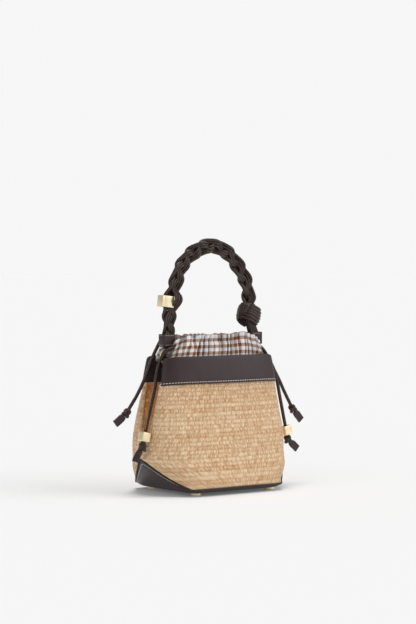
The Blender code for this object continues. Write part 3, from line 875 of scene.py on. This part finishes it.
# ---- leather base with its end flaps
basePlan = {
    "front": 70, "flap": 60, "thick": 1.8, "bulge": 4.0, "softness": 4, "underside": 4.0, "stitchIn": 0.86,
    "bindingRadius": 1.25,
    # the flat bottom and the turn above it, as shares of the outline at the walls and as places on the flaps
    "bottomShare": (71 / 77, 59 / 66), "turnShare": (76 / 77, 64 / 66), "turnRise": 1.6,
    "bottomFlap": (71.0, 57.2), "turnFlap": (76.0, 62.1), "bottomSoftness": 22, "turnSoftness": 18,
    # shares of the bottom outline, for the flat underside, and of the way up to the sewn edge
    "flatRows": [0.0, 0.35, 0.7, 0.9, 0.97],
    "wallRows": [0.0, 0.18, 0.36, 0.54, 0.70, 0.84, 0.93, 1.0],
}


def baseLoops():
    # the outline of the flat bottom, of the turn up from it, and of the sewn upper edge
    plan, seamZ = basePlan, bodyShape["corner"][2]
    rows = [("bottom", plan["underside"]), ("turn", plan["underside"] + plan["turnRise"])]
    loops = {"bottom": [], "turn": [], "top": []}
    for side in (-1, 1):
        for k in range(plan["front"]):
            across = (2 * k / plan["front"] - 1) * -side
            x, y, z = wallPoint(across, seamZ, 0.0, side)  # the wall has settled already
            for row, height in rows:
                shareX, shareY = plan[row + "Share"]
                loops[row].append(Vector((x * shareX, y * shareY, height)))
            loops["top"].append(Vector((x, y, z)))
        for k in range(plan["flap"]):
            f = (2 * k / plan["flap"] - 1) * -side
            x, y, z = seamPoint(1 - abs(f))
            for row, height in rows:
                flapX, flapY = plan[row + "Flap"]
                loops[row].append(Vector(settled(-side * flapX, f * flapY, height)))
            loops["top"].append(Vector(settled(-side * x, math.copysign(y, f), z)))
    return (softenLoop(loops["bottom"], plan["bottomSoftness"]),
            softenLoop(loops["turn"], plan["turnSoftness"]), softenLoop(loops["top"], plan["softness"]))


def baseWall(turn, top, share):
    # the leather between the turn and the sewn edge; the flaps bulge a little
    loop = []
    for low, high in zip(turn, top):
        rise = max(high.z - bodyShape["seamLow"], 0.0) / (bodyShape["apex"][1] - bodyShape["seamLow"])
        point = low.lerp(high, share)
        out = basePlan["bulge"] * math.sin(math.pi * share) * rise ** 0.8
        point.x += math.copysign(out, point.x)
        belly = math.copysign(0.5 * math.sin(math.pi * share), point.y)
        point += Vector((0, belly, 0)) * (1 - min(rise * 3, 1))
        loop.append(point)
    return loop


def makeBase():
    bottom, turn, top = baseLoops()
    loops = [[Vector((p.x * share, p.y * share, p.z)) for p in bottom] for share in basePlan["flatRows"]]
    middle = [a * 0.5 + b * 0.5 + Vector((0, 0, -0.55)) for a, b in zip(bottom, turn)]
    loops += [bottom, middle] + [baseWall(turn, top, share) for share in basePlan["wallRows"]]
    columns, rows = len(top), len(loops) - 1

    def shape(u, v):
        return loops[round(v * rows)][round(u * columns) % columns]

    piece = gridPiece(columns, rows, shape, faceOut=lambda c: Vector((c.x, c.y, -0.02)))
    addThickness(piece, basePlan["thick"])
    finishPiece(piece, "leatherBase", bandLeather, replaced=["base_leather"], smoothAngle=0)
    outward = loopOutward(top)
    binding = [p + n * 0.55 + Vector((0, 0, 0.35)) for p, n in zip(top, outward)]
    piece = toMesh(cordCurve([binding], basePlan["bindingRadius"], closed=True))
    finishPiece(piece, "edgeBinding", edgeLeather, replaced=["edge_binding"])
    sewn = baseWall(turn, top, basePlan["stitchIn"])
    front, flap = basePlan["front"], basePlan["flap"]
    for side, start in (("right", front), ("left", 2 * front + flap)):
        path = sewn[start + 1:start + flap]
        ways = []
        for k in range(start + 1, start + flap):
            ahead = sewn[k + 1] - sewn[k - 1] if k + 1 < len(sewn) else sewn[k] - sewn[k - 1]
            up = top[k] - turn[k]
            ways.append(ahead.cross(up).normalized())
        path = [p + way * 0.15 for p, way in zip(path, ways)]
        sewAlong("flapStitches_" + side, path, ways, pitch=3.6, length=2.3, radius=0.45)


makeBase()
print("leather base made")

# ---- metal feet
footPlan = {"radius": 7.0, "height": 3.65, "x": 58.2, "y": 47.2, "rim": 1.9, "groove": 0.5, "sink": 0.3,
            "rounding": 0.7}


def makeFoot():
    height = footPlan["height"] * mm
    deselectAll()
    bpy.ops.mesh.primitive_cylinder_add(radius=footPlan["radius"] * mm, depth=height, vertices=48,
                                        location=(0, 0, height / 2))
    foot = bpy.context.object
    bpy.ops.object.transform_apply(location=True)
    selectFaces(foot, lambda polygon: polygon.normal.z < -0.9)
    bpy.ops.mesh.inset(thickness=footPlan["rim"] * mm, depth=0)
    bpy.ops.mesh.inset(thickness=footPlan["groove"] * mm, depth=-footPlan["sink"] * mm)
    leaveEdit()
    addBevel(foot, footPlan["rounding"], 50, segments=4)
    applyModifiers(foot)
    return foot


baseFoot = makeFoot()
for footSide, footX in (("left", -footPlan["x"]), ("right", footPlan["x"])):
    for footEnd, footY in (("front", -footPlan["y"]), ("back", footPlan["y"])):
        foot = copyOf(baseFoot)
        foot.location = (footX * mm, footY * mm, 0)
        finishPiece(foot, f"goldFoot_{footEnd}_{footSide}", paleGold,
                    replaced=[f"foot_{footEnd}_{footSide}"])
bpy.data.objects.remove(baseFoot, do_unlink=True)
print("feet made")

# ---- rings, the tabs that hold them, and the handle's sleeves
ringPlan = {"x": 70.0, "radius": 9.8, "wire": 1.2, "tabAxis": 164.9, "sleeveAxis": 184.5}
# a strap's widths are those at the ring, in its middle and at its foot
tabPlan = {"bottom": 148.2, "thick": 1.5, "bend": 2.55, "widths": (8.0, 14.6, 10.0)}
sleevePlan = {"size": (19.0, 12.0, 15.5), "bottom": 187.5, "wall": 1.5, "mouthDepth": 4.0, "corner": 1.8,
              "rounding": 0.45, "rimBelow": 1.2, "sinkBelow": 0.5, "rowIn": 1.7,
              "loopWidths": (8.0, 8.0, 9.0), "loopBend": 2.9, "loopThick": 1.3}


def makeRing(name, side):
    # a wire of slightly flattened section spun round the ring's centre
    deselectAll()
    wire = ringPlan["wire"] * mm
    bpy.ops.mesh.primitive_circle_add(vertices=16, radius=wire, location=(ringPlan["radius"] * mm, 0, 0),
                                      rotation=(math.pi / 2, 0, 0))
    piece = bpy.context.object
    bpy.ops.object.transform_apply(location=True, rotation=True)
    editAll(piece)
    bpy.ops.mesh.spin(steps=72, angle=math.tau, center=(0, 0, 0), axis=(0, 0, 1))
    bpy.ops.mesh.select_all(action="SELECT")
    bpy.ops.mesh.remove_doubles(threshold=0.01 * mm)
    bpy.ops.mesh.normals_make_consistent(inside=False)
    leaveEdit()
    for vertex in piece.data.vertices:
        vertex.co.z *= 0.92
    middle = (ringPlan["tabAxis"] + ringPlan["sleeveAxis"]) / 2
    piece.matrix_world = (Matrix.Translation(Vector((side * ringPlan["x"], 0, middle)) * mm)
                          @ Matrix.Rotation(math.pi / 2, 4, "X"))
    node = "ring_left" if side < 0 else "ring_right"
    return finishPiece(piece, name, paleGold, body="rings", replaced=[node])


def makeStrapLoop(name, side, axisZ, tipZ, widths, body, bend, thick, rows=44):
    # a strap doubled over a ring's bar: down at the front, round the bar, and back at the rear
    reach = abs(tipZ - axisZ)
    way = 1 if tipZ > axisZ else -1

    def shape(u, v):
        run = v * (2 * reach + math.pi * bend)
        if run < reach:
            y, z = -bend, tipZ - way * run
        elif run > reach + math.pi * bend:
            y, z = bend, tipZ - way * (2 * reach + math.pi * bend - run)
        else:
            turn = (run - reach) / bend
            y, z = -bend * math.cos(turn), axisZ - way * bend * math.sin(turn)
        away = abs(z - axisZ) / reach if way * (z - axisZ) > 0 else 0.0
        width = widths[0] + (widths[1] - widths[0]) * min(away / 0.45, 1.0) ** 2
        width += (widths[2] - width) * max(away - 0.6, 0.0) / 0.4
        return side * ringPlan["x"] + (u - 0.5) * width, y, z

    piece = gridPiece(8, rows, shape, faceOut=lambda c: Vector((0, c.y, c.z - axisZ * mm)))
    addThickness(piece, thick)
    addBevel(piece, 0.4, 50)
    return finishPiece(piece, name, bandLeather, body=body)


def makeSleeve(name, side):
    width, depth, height = sleevePlan["size"]
    piece = makeBox(width, depth, height)
    piece.location = (side * ringPlan["x"] * mm, 0, (sleevePlan["bottom"] + height / 2) * mm)
    bpy.ops.object.transform_apply(location=True)
    upright = piece.data.attributes.new("bevel_weight_edge", "FLOAT", "EDGE")
    for edge in piece.data.edges:
        a, b = (piece.data.vertices[i].co for i in edge.vertices)
        upright.data[edge.index].value = 1.0 if abs(a.z - b.z) > 0.5 * height * mm else 0.0
    corners = piece.modifiers.new("corners", "BEVEL")
    corners.limit_method, corners.width, corners.segments = "WEIGHT", sleevePlan["corner"] * mm, 5
    applyModifiers(piece)
    selectFaces(piece, lambda polygon: polygon.normal.z > 0.9)
    bpy.ops.mesh.inset(thickness=sleevePlan["wall"] * mm, depth=0)
    bpy.ops.mesh.extrude_region_move(TRANSFORM_OT_translate={"value": (0, 0, -sleevePlan["mouthDepth"] * mm)})
    selectFaces(piece, lambda polygon: polygon.normal.z < -0.9)
    bpy.ops.mesh.inset(thickness=sleevePlan["rimBelow"] * mm, depth=sleevePlan["sinkBelow"] * mm)
    leaveEdit()
    addBevel(piece, sleevePlan["rounding"], 50, segments=3)
    node = "sleeve_left" if side < 0 else "sleeve_right"
    finishPiece(piece, name, bandLeather, body="handle", replaced=[node])
    # sewn rows near the upper and lower edges
    halfX, halfY = width / 2 + 0.02, depth / 2 + 0.02
    for row, z in (("Top", height - sleevePlan["rowIn"]), ("Foot", sleevePlan["rowIn"])):
        path, ways = [], []
        for k in range(73):
            c, s = math.cos(math.tau * k / 72), math.sin(math.tau * k / 72)
            x, y = math.copysign(halfX * abs(c) ** 0.28, c), math.copysign(halfY * abs(s) ** 0.28, s)
            path.append(Vector((side * ringPlan["x"] + x, y, sleevePlan["bottom"] + z)))
            way = (x / halfX ** 2 * abs(x / halfX) ** 5, y / halfY ** 2 * abs(y / halfY) ** 5, 0)
            ways.append(Vector(way).normalized())
        sewAlong(f"sleeveStitches{row}_" + name.split("_")[1], path, ways, pitch=2.6, length=1.7, radius=0.22,
                 body="handle")
    return piece


for endName, endSide in (("left", -1), ("right", 1)):
    makeRing("goldRing_" + endName, endSide)
    tab = makeStrapLoop("endTab_" + endName, endSide, ringPlan["tabAxis"], tabPlan["bottom"],
                        tabPlan["widths"], "bag", tabPlan["bend"], tabPlan["thick"])
    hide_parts("tab_" + endName)
    makeStrapLoop("sleeveLoop_" + endName, endSide, ringPlan["sleeveAxis"],
                  sleevePlan["bottom"] + sleevePlan["wall"], sleevePlan["loopWidths"], "handle",
                  sleevePlan["loopBend"], sleevePlan["loopThick"])
    makeSleeve("handleSleeve_" + endName, endSide)
print("rings, tabs and sleeves made")

# ---- gingham collar, gathered on the drawcords, and the lining below it
clothPlan = {"check": 4.7, "thread": 0.42, "threadShade": 0.30}


def makeGingham(name):
    cloth = newMaterial(name, Roughness=0.85, Specular_IOR_Level=0.2, Sheen_Weight=0.25)
    apart = addNode(cloth, "ShaderNodeSeparateXYZ", {0: uvPlace(cloth)})
    off, on = (0, 0, 0), (1, 1, 1)
    stripes, waves = [], []
    for axis in (0, 1):
        run = maths(cloth, "MULTIPLY", apart.outputs[axis], 500 / clothPlan["check"])
        run = maths(cloth, "FRACT", run)
        stripes.append(rampColor(cloth, run, [(0.0, off), (0.02, off), (0.04, on), (0.50, on), (0.52, off)]))
        turn = maths(cloth, "MULTIPLY", apart.outputs[axis], math.tau * 1000 / clothPlan["thread"])
        waves.append(maths(cloth, "SINE", turn))
    amount = maths(cloth, "MULTIPLY", maths(cloth, "ADD", stripes[0], stripes[1]), 0.5)
    threads = stretchedNoise(cloth, uvPlace(cloth), (3200.0, 3200.0, 1.0), 1.0)
    uneven = maths(cloth, "SUBTRACT", threads, 0.5)
    amount = maths(cloth, "MULTIPLY_ADD", uneven, clothPlan["threadShade"], amount)
    color = rampColor(cloth, amount, [(0.08, (0.90, 0.89, 0.93)), (0.40, (0.50, 0.40, 0.35)),
                                      (0.60, (0.44, 0.33, 0.27)), (0.90, (0.19, 0.062, 0.018))])
    # painted shade: the fold valleys are darkened towards a near-black brown, by the amount kept on the
    # cloth's points
    shade = addNode(cloth, "ShaderNodeAttribute", attribute_name="paintedFoldShade")
    color = mixColor(cloth, shade.outputs["Fac"], color, (0.035, 0.022, 0.022, 1.0))
    height = maths(cloth, "ADD", maths(cloth, "MULTIPLY", waves[0], waves[1]), threads)
    return connect(cloth, Base_Color=color, Normal=bumped(cloth, height, 0.35, 0.12))


gingham = makeGingham("ginghamCloth")
collarPlan = {
    "frontColumns": 190, "endColumns": 50, "outerRows": 38, "rollRows": 6, "innerRows": 14,
    "startZ": 168.0, "folds": 21, "foldLow": 1.9, "foldHigh": 5.2, "inward": 3.4, "innerDrop": 14.0,
    # shade is how dark the painted shade in the fold valleys gets
    "flatWidth": 0.500, "flatHeight": 0.056, "thick": 0.5, "shade": 0.80, "valley": 0.5,
    "drift": 0.35, "uneven": 1.5, "sizeRange": 0.85,  # how far the folds wander, bunch up and differ in size
    # hem line: along the front from its left corner, then the right end, the back and the left end
    "hem": [
        [(-60, -10, 191), (-60.5, -14.5, 196), (-52, -20, 199.5), (-35, -22.5, 200), (-12, -23.5, 200.3),
         (10, -23.5, 200.6), (28, -23, 202.6), (41, -22, 202.2), (52, -20, 198.5), (62, -17, 191.5),
         (68, -12.5, 186.5)],
        [(68, -12.5, 186.5), (64.5, -8.6, 185.5), (56.5, -4.2, 187.5), (55.5, 0, 188.5), (57, 5, 190),
         (62, 11, 191)],
        [(62, 11, 191), (60, 15, 195), (50, 19, 198.5), (25, 21.5, 199.5), (0, 22, 199.5), (-25, 21.5, 199.5),
         (-48, 19.5, 198.5), (-59, 15, 195), (-61.5, 11, 192)],
        [(-61.5, 11, 192), (-57, 5.5, 191), (-55.5, 0, 190.5), (-56.5, -5, 190.5), (-60, -10, 191)],
    ],
}


def collarLoops():
    # where the cloth leaves the inside of the band, and the hem it is gathered to
    start, hem = [], []
    z = collarPlan["startZ"]
    counts = [collarPlan["frontColumns"], collarPlan["endColumns"]] * 2
    for part, count in enumerate(counts):
        if part in (0, 2):
            side = -1 if part == 0 else 1
            run = [Vector(wallPoint((2 * k / 60 - 1) * -side, z, 0.0, side)) for k in range(61)]
            run = [Vector((p.x * 0.88, p.y * 0.90, z)) for p in run]
        else:
            side = 1 if part == 1 else -1
            run = []
            for k in range(31):
                w = (2 * k / 30 - 1) * side
                x = 41.0 + (88.4 * 0.88 - 41.0) * abs(w) ** 2.2
                run.append(Vector((side * x, w * 12.0 + math.copysign(2.2 * abs(w) ** 0.5, w), z)))
        start += evenSteps(run, count, count)
        corners = [Vector(p) for p in collarPlan["hem"][part]]
        hem += evenSteps(smoothRoute(corners, 0.8), count, count)
    return softenLoop(start, 6), softenLoop(hem, 6)


def makeCollar():
    plan = collarPlan
    start, hem = collarLoops()
    outward = loopOutward(hem)
    columns = len(hem)
    rows = plan["outerRows"] + plan["rollRows"] + plan["innerRows"]

    def place(k, row, wanted="point"):
        s = k / columns
        low, high, out = start[k], hem[k], outward[k]
        c, d = math.cos(math.tau * s), math.sin(math.tau * s)
        drift = plan["drift"] * noise.noise(Vector((c * 2.2, d * 2.2, row * 0.035)))
        number = plan["folds"] * s + plan["uneven"] * noise.noise(Vector((c * 4.1, d * 4.1, 5.0))) + drift
        ridge = 1.0 - 2.0 * abs(math.sin(math.pi * number)) ** 1.25
        # how dark the painted shade is here: deepest in the fold valleys, and stronger higher up the collar
        if wanted == "depth":
            return (0.5 - 0.5 * ridge) ** 5 * (0.35 + 0.65 * min(row / plan["outerRows"], 1.0))
        size = 1.0 + plan["sizeRange"] * noise.noise(Vector((c * 6.0, d * 6.0, 9.0)))
        climb = min(row / plan["outerRows"], 1.0)
        fold = (plan["foldLow"] + (plan["foldHigh"] - plan["foldLow"]) * climb ** 1.1) * size
        point = low.lerp(high, climb ** 1.15)
        point.z = low.z + (high.z - low.z) * climb
        puff = 1.7 * math.sin(math.pi * min(climb / 0.86, 1.0))
        puff -= 0.9 * math.exp(-((climb - 0.80) / 0.07) ** 2)  # the dent where the drawcord runs
        point += out * (puff + fold * (ridge if ridge > 0 else plan["valley"] * ridge))
        point.z += 0.9 * climb ** 4 * ridge
        if row > plan["outerRows"]:
            turn = min((row - plan["outerRows"]) / plan["rollRows"], 1.0) * math.pi
            point -= out * plan["inward"] / 2 * (1 - math.cos(turn))
            point.z += plan["inward"] / 2 * math.sin(turn) * 0.8
            point -= out * 0.35 * fold * (ridge + 1) * (1 - math.cos(turn)) / 2
        below = max(row - plan["outerRows"] - plan["rollRows"], 0) / plan["innerRows"]
        point.z -= plan["innerDrop"] * below
        point -= out * 2.0 * below ** 2
        return point

    def shape(u, v):
        return place(round(u * columns) % columns, round(v * rows))

    # the painted shade in the fold valleys, for each point of the collar
    def depth(u, v):
        return plan["shade"] * place(round(u * columns) % columns, round(v * rows), "depth")

    piece = gridPiece(columns, rows, shape, (plan["flatWidth"], plan["flatHeight"]), depth=depth,
                      faceOut=lambda c: Vector((0, c.y, 0)) if c.z < 0.185 else Vector((0, 0, 0)))
    addThickness(piece, plan["thick"], offset=0.0)
    finishPiece(piece, "ginghamCollar", gingham, replaced=["collar"], smoothAngle=0)


makeCollar()
liningPlan = {
    "columns": 150, "rows": 60, "floorRows": 8, "flatWidth": 0.36, "flatHeight": 0.22, "thick": 0.8,
    # height, half length, half depth, squareness
    "levels": [(9.6, 68.0, 56.0, 5.0), (22.0, 72.0, 56.0, 4.0), (46.0, 95.0, 48.0, 2.4),
               (75.0, 88.0, 42.5, 2.3), (106.0, 74.0, 36.5, 2.3), (140.0, 56.5, 30.0, 2.3),
               (174.0, 41.0, 25.0, 2.3)],
}


def makeLining():
    plan = liningPlan
    levels = plan["levels"]
    low, high = levels[0][0], levels[-1][0]
    rows = plan["rows"] + plan["floorRows"]

    def shape(u, v):
        row = round(v * rows)
        climb = max(row - plan["floorRows"], 0) / plan["rows"]
        z = low + (high - low) * climb
        halfX, halfY, square = eased(levels, z)
        angle = math.tau * u
        c, s = math.cos(angle), math.sin(angle)
        inner = min(row / plan["floorRows"], 1.0)
        sag = 1.0 + 0.022 * noise.noise(Vector((c * 2.5, s * 2.5, z * 0.03))) - 0.012
        share = inner * sag
        return (math.copysign(halfX * abs(c) ** (2 / square), c) * share,
                math.copysign(halfY * abs(s) ** (2 / square), s) * share, z)

    piece = gridPiece(plan["columns"], rows, shape, (plan["flatWidth"], plan["flatHeight"]),
                      faceOut=lambda c: Vector((c.x, c.y, 0)))
    addThickness(piece, plan["thick"])
    finishPiece(piece, "ginghamLining", gingham, replaced=["lining"], smoothAngle=0)


makeLining()
print("collar and lining made")

# ---- braided handle
handlePlan = {
    # centre line in the handle's own plane: along X, height
    "route": [(-69.0, 200.5), (-68.5, 204.9), (-68.0, 218.0), (-64.0, 243.0), (-58.0, 266.0), (-51.5, 284.0),
              (-40.5, 298.5), (-23.0, 310.5), (-4.0, 316.0), (13.0, 313.0), (28.5, 304.0), (40.5, 292.0),
              (51.0, 276.5), (58.0, 260.0), (60.5, 243.8), (61.0, 232.0)],
    "step": 1.8, "period": 69.0, "acrossReach": 5.2, "depthReach": 2.7, "cordRadius": 1.95, "spacing": 3.5,
    "lean": 42, "beadHeight": 44.5, "beadSpan": 11.0, "steepness": 0.24, "lowTaper": 26.0, "highTaper": 16.0,
    "endWidth": 0.78,
}


def makeBraid():
    plan = handlePlan
    centre = smoothRoute([(x, 0.0, z) for x, z in plan["route"]], plan["step"])
    steps = len(centre) - 1
    length = sum((b - a).length for a, b in zip(centre, centre[1:]))
    runs = []
    for strand in range(3):
        cords = [[], [], []]
        for k, point in enumerate(centre):
            s = length * k / steps
            ahead = (centre[min(k + 1, steps)] - centre[max(k - 1, 0)]).normalized()
            across = Vector((0, 1, 0)).cross(ahead).normalized()
            turn = math.tau * ((s - plan["beadHeight"]) / plan["period"] + 0.25 + strand / 3)
            ends = easeStep(min(s / plan["lowTaper"], (length - s) / plan["highTaper"]))
            ends = plan["endWidth"] + (1 - plan["endWidth"]) * ends
            uneven = 1.0 + 0.22 * noise.noise(Vector((s * 0.04, strand * 5.0, 0.5)))
            turn += 0.22 * noise.noise(Vector((s * 0.022, strand * 3.0, 4.5)))
            atBead = math.exp(-((s - plan["beadHeight"]) / plan["beadSpan"]) ** 2)
            x = plan["acrossReach"] * math.sin(turn + plan["steepness"] * math.sin(2 * turn)) * ends * uneven
            y = plan["depthReach"] * math.sin(2 * turn) * ends
            gap = plan["spacing"] * ends
            if strand == 0:  # the strand that runs through the bead
                x, y = x - 0.8 * atBead, y - 8.8 * atBead
            else:
                x, y, gap = x - 5.0 * atBead, y * (1 - atBead) + 1.5 * atBead, gap * (1 - 0.5 * atBead)
            lean = math.radians(plan["lean"]) * math.sin(turn) * abs(math.sin(turn))
            lean *= 1 - 0.7 * atBead * (strand == 0)
            for place, run in zip((-1, 0, 1), cords):
                run.append(point + across * (x + place * gap * math.cos(lean))
                           + Vector((0, y - place * gap * math.sin(lean), 0)))
        runs += cords
    for first, name in enumerate("abc"):
        piece = toMesh(cordCurve(runs[3 * first:3 * first + 3], plan["cordRadius"]))
        finishPiece(piece, "braidStrand_" + name, cordLeather, body="handle",
                    replaced=["handle_strand_" + name])


makeBraid()
knotPlan = {
    "centre": (61.0, 0.0, 226.0), "half": (15.8, 12.0), "climb": 11.0, "tallness": 17.2, "cordRadius": 2.15,
    "spacing": 3.8, "turns": 2.15, "lean": 32.0, "start": 20.0, "steps": 110, "tuckOver": 0.10,
    "tuckedIn": 0.35,
    "legRows": (-2.7, 1.6), "legColumns": (64.2, 67.6, 71.0, 74.2), "legRadius": 2.05,
}


def makeKnot():
    # three cords laid side by side, twice round the handle, with both ends tucked in
    plan = knotPlan
    runs = []
    tilt = Matrix.Rotation(math.radians(plan["lean"]), 4, "Y")
    for cord in (-1, 0, 1):
        run = []
        for k in range(plan["steps"] + 1):
            t = k / plan["steps"]
            angle = math.tau * plan["turns"] * t + math.radians(plan["start"])
            h = plan["climb"] * plan["turns"] * (t - 0.5) + cord * plan["spacing"]
            barrel = math.sqrt(max(1 - (h / plan["tallness"]) ** 2, 0.16))
            tuck = easeStep(min(t, 1 - t) / plan["tuckOver"])
            tuck = plan["tuckedIn"] + (1 - plan["tuckedIn"]) * tuck
            wave = 1.0 + 0.05 * math.sin(angle * 1.5 + cord)
            point = Vector((plan["half"][0] * barrel * tuck * wave * math.cos(angle),
                            plan["half"][1] * barrel * tuck * math.sin(angle), h))
            run.append(Vector(plan["centre"]) + tilt @ point)
        runs.append(run)
    # the loop that stands up at the upper left, where the cords turn back
    for cord in (-1, 0, 1):
        loop = [(-3, -3, 15), (-9, -7.5, 14 + cord), (-14 - cord, -8, 9.5 + cord * 1.5),
                (-15.6 - cord, -5, 3), (-13, 1, -2), (-8, 5, -4)]
        loop = [Vector(p) + Vector((0, cord * 2.6 - 1.0, 0)) for p in loop]
        runs.append([Vector(plan["centre"]) + p for p in smoothRoute(loop, 2.0)])
    piece = toMesh(cordCurve(runs, plan["cordRadius"]))
    finishPiece(piece, "handleKnot", cordLeather, body="handle", replaced=["handle_knot"])
    legs = []  # the straight cord ends, in two rows, from the sleeve up into the knot
    for y in plan["legRows"]:
        for x in plan["legColumns"]:
            legs.append(smoothRoute([(x, y, 199.5), (x - 1.8 - 0.1 * (x - 64), y * 1.05, 204.5),
                                     (x - 4.0 - 0.2 * (x - 64), y * 1.1, 212.0),
                                     (x - 4.6 - 0.3 * (x - 64), y, 220.0)], 2.5))
    piece = toMesh(cordCurve(legs, plan["legRadius"]))
    finishPiece(piece, "handleLegs", cordLeather, body="handle",
                replaced=["handle_leg_a", "handle_leg_b", "handle_leg_c"])


makeKnot()
handleBeadPlan = {"size": (18.0, 12.0, 14.5), "centre": (-71.4, 0.4, 244.8), "lean": (2.0, 0, 17.0),
                  "wall": 1.7, "groovePlace": 0.26, "groove": 0.5, "grooveDepth": 0.45, "corner": 1.3}


def makeHandleBead():
    plan = handleBeadPlan
    width, depth, height = plan["size"]
    piece = makeBox(width, depth, height)
    selectFaces(piece, lambda polygon: abs(polygon.normal.z) > 0.9)
    bpy.ops.mesh.inset(thickness=plan["wall"] * mm, depth=0)
    bpy.ops.mesh.bridge_edge_loops()
    # a fine groove across the front and back, near the outer end
    groove = -width * mm * plan["groovePlace"]
    for place in (groove, groove - plan["groove"] * mm):
        bpy.ops.mesh.select_all(action="SELECT")
        bpy.ops.mesh.bisect(plane_co=(place, 0, 0), plane_no=(1, 0, 0))
    leaveEdit()
    selectFaces(piece, lambda polygon: groove - 1.2 * plan["groove"] * mm < polygon.center.x < groove
                and abs(polygon.normal.y) > 0.9 and abs(polygon.center.y) > depth * 0.45 * mm
                and polygon.area < 12 * mm * mm)
    bpy.ops.mesh.extrude_region_shrink_fatten(TRANSFORM_OT_shrink_fatten={"value": -plan["grooveDepth"] * mm})
    leaveEdit()
    addBevel(piece, plan["corner"], 60, segments=4)
    piece.matrix_world = Matrix.Translation(Vector(plan["centre"]) * mm) @ along(plan["lean"])
    return finishPiece(piece, "handleBead", paleGold, body="handle", replaced=["handle_bead"],
                       smoothAngle=35)


makeHandleBead()
print("handle made")

# ---- pieces of the frame that stay as they are
for nodeName, nodeMaterial in (("base_board", edgeLeather), ("drawcord_run_left", cordLeather),
                               ("drawcord_run_right", cordLeather), ("washer_front_left", paleGold),
                               ("washer_front_right", paleGold), ("washer_back_left", paleGold),
                               ("washer_back_right", paleGold)):
    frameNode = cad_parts[nodeName]
    frameNode.data.materials.clear()
    frameNode.data.materials.append(nodeMaterial)
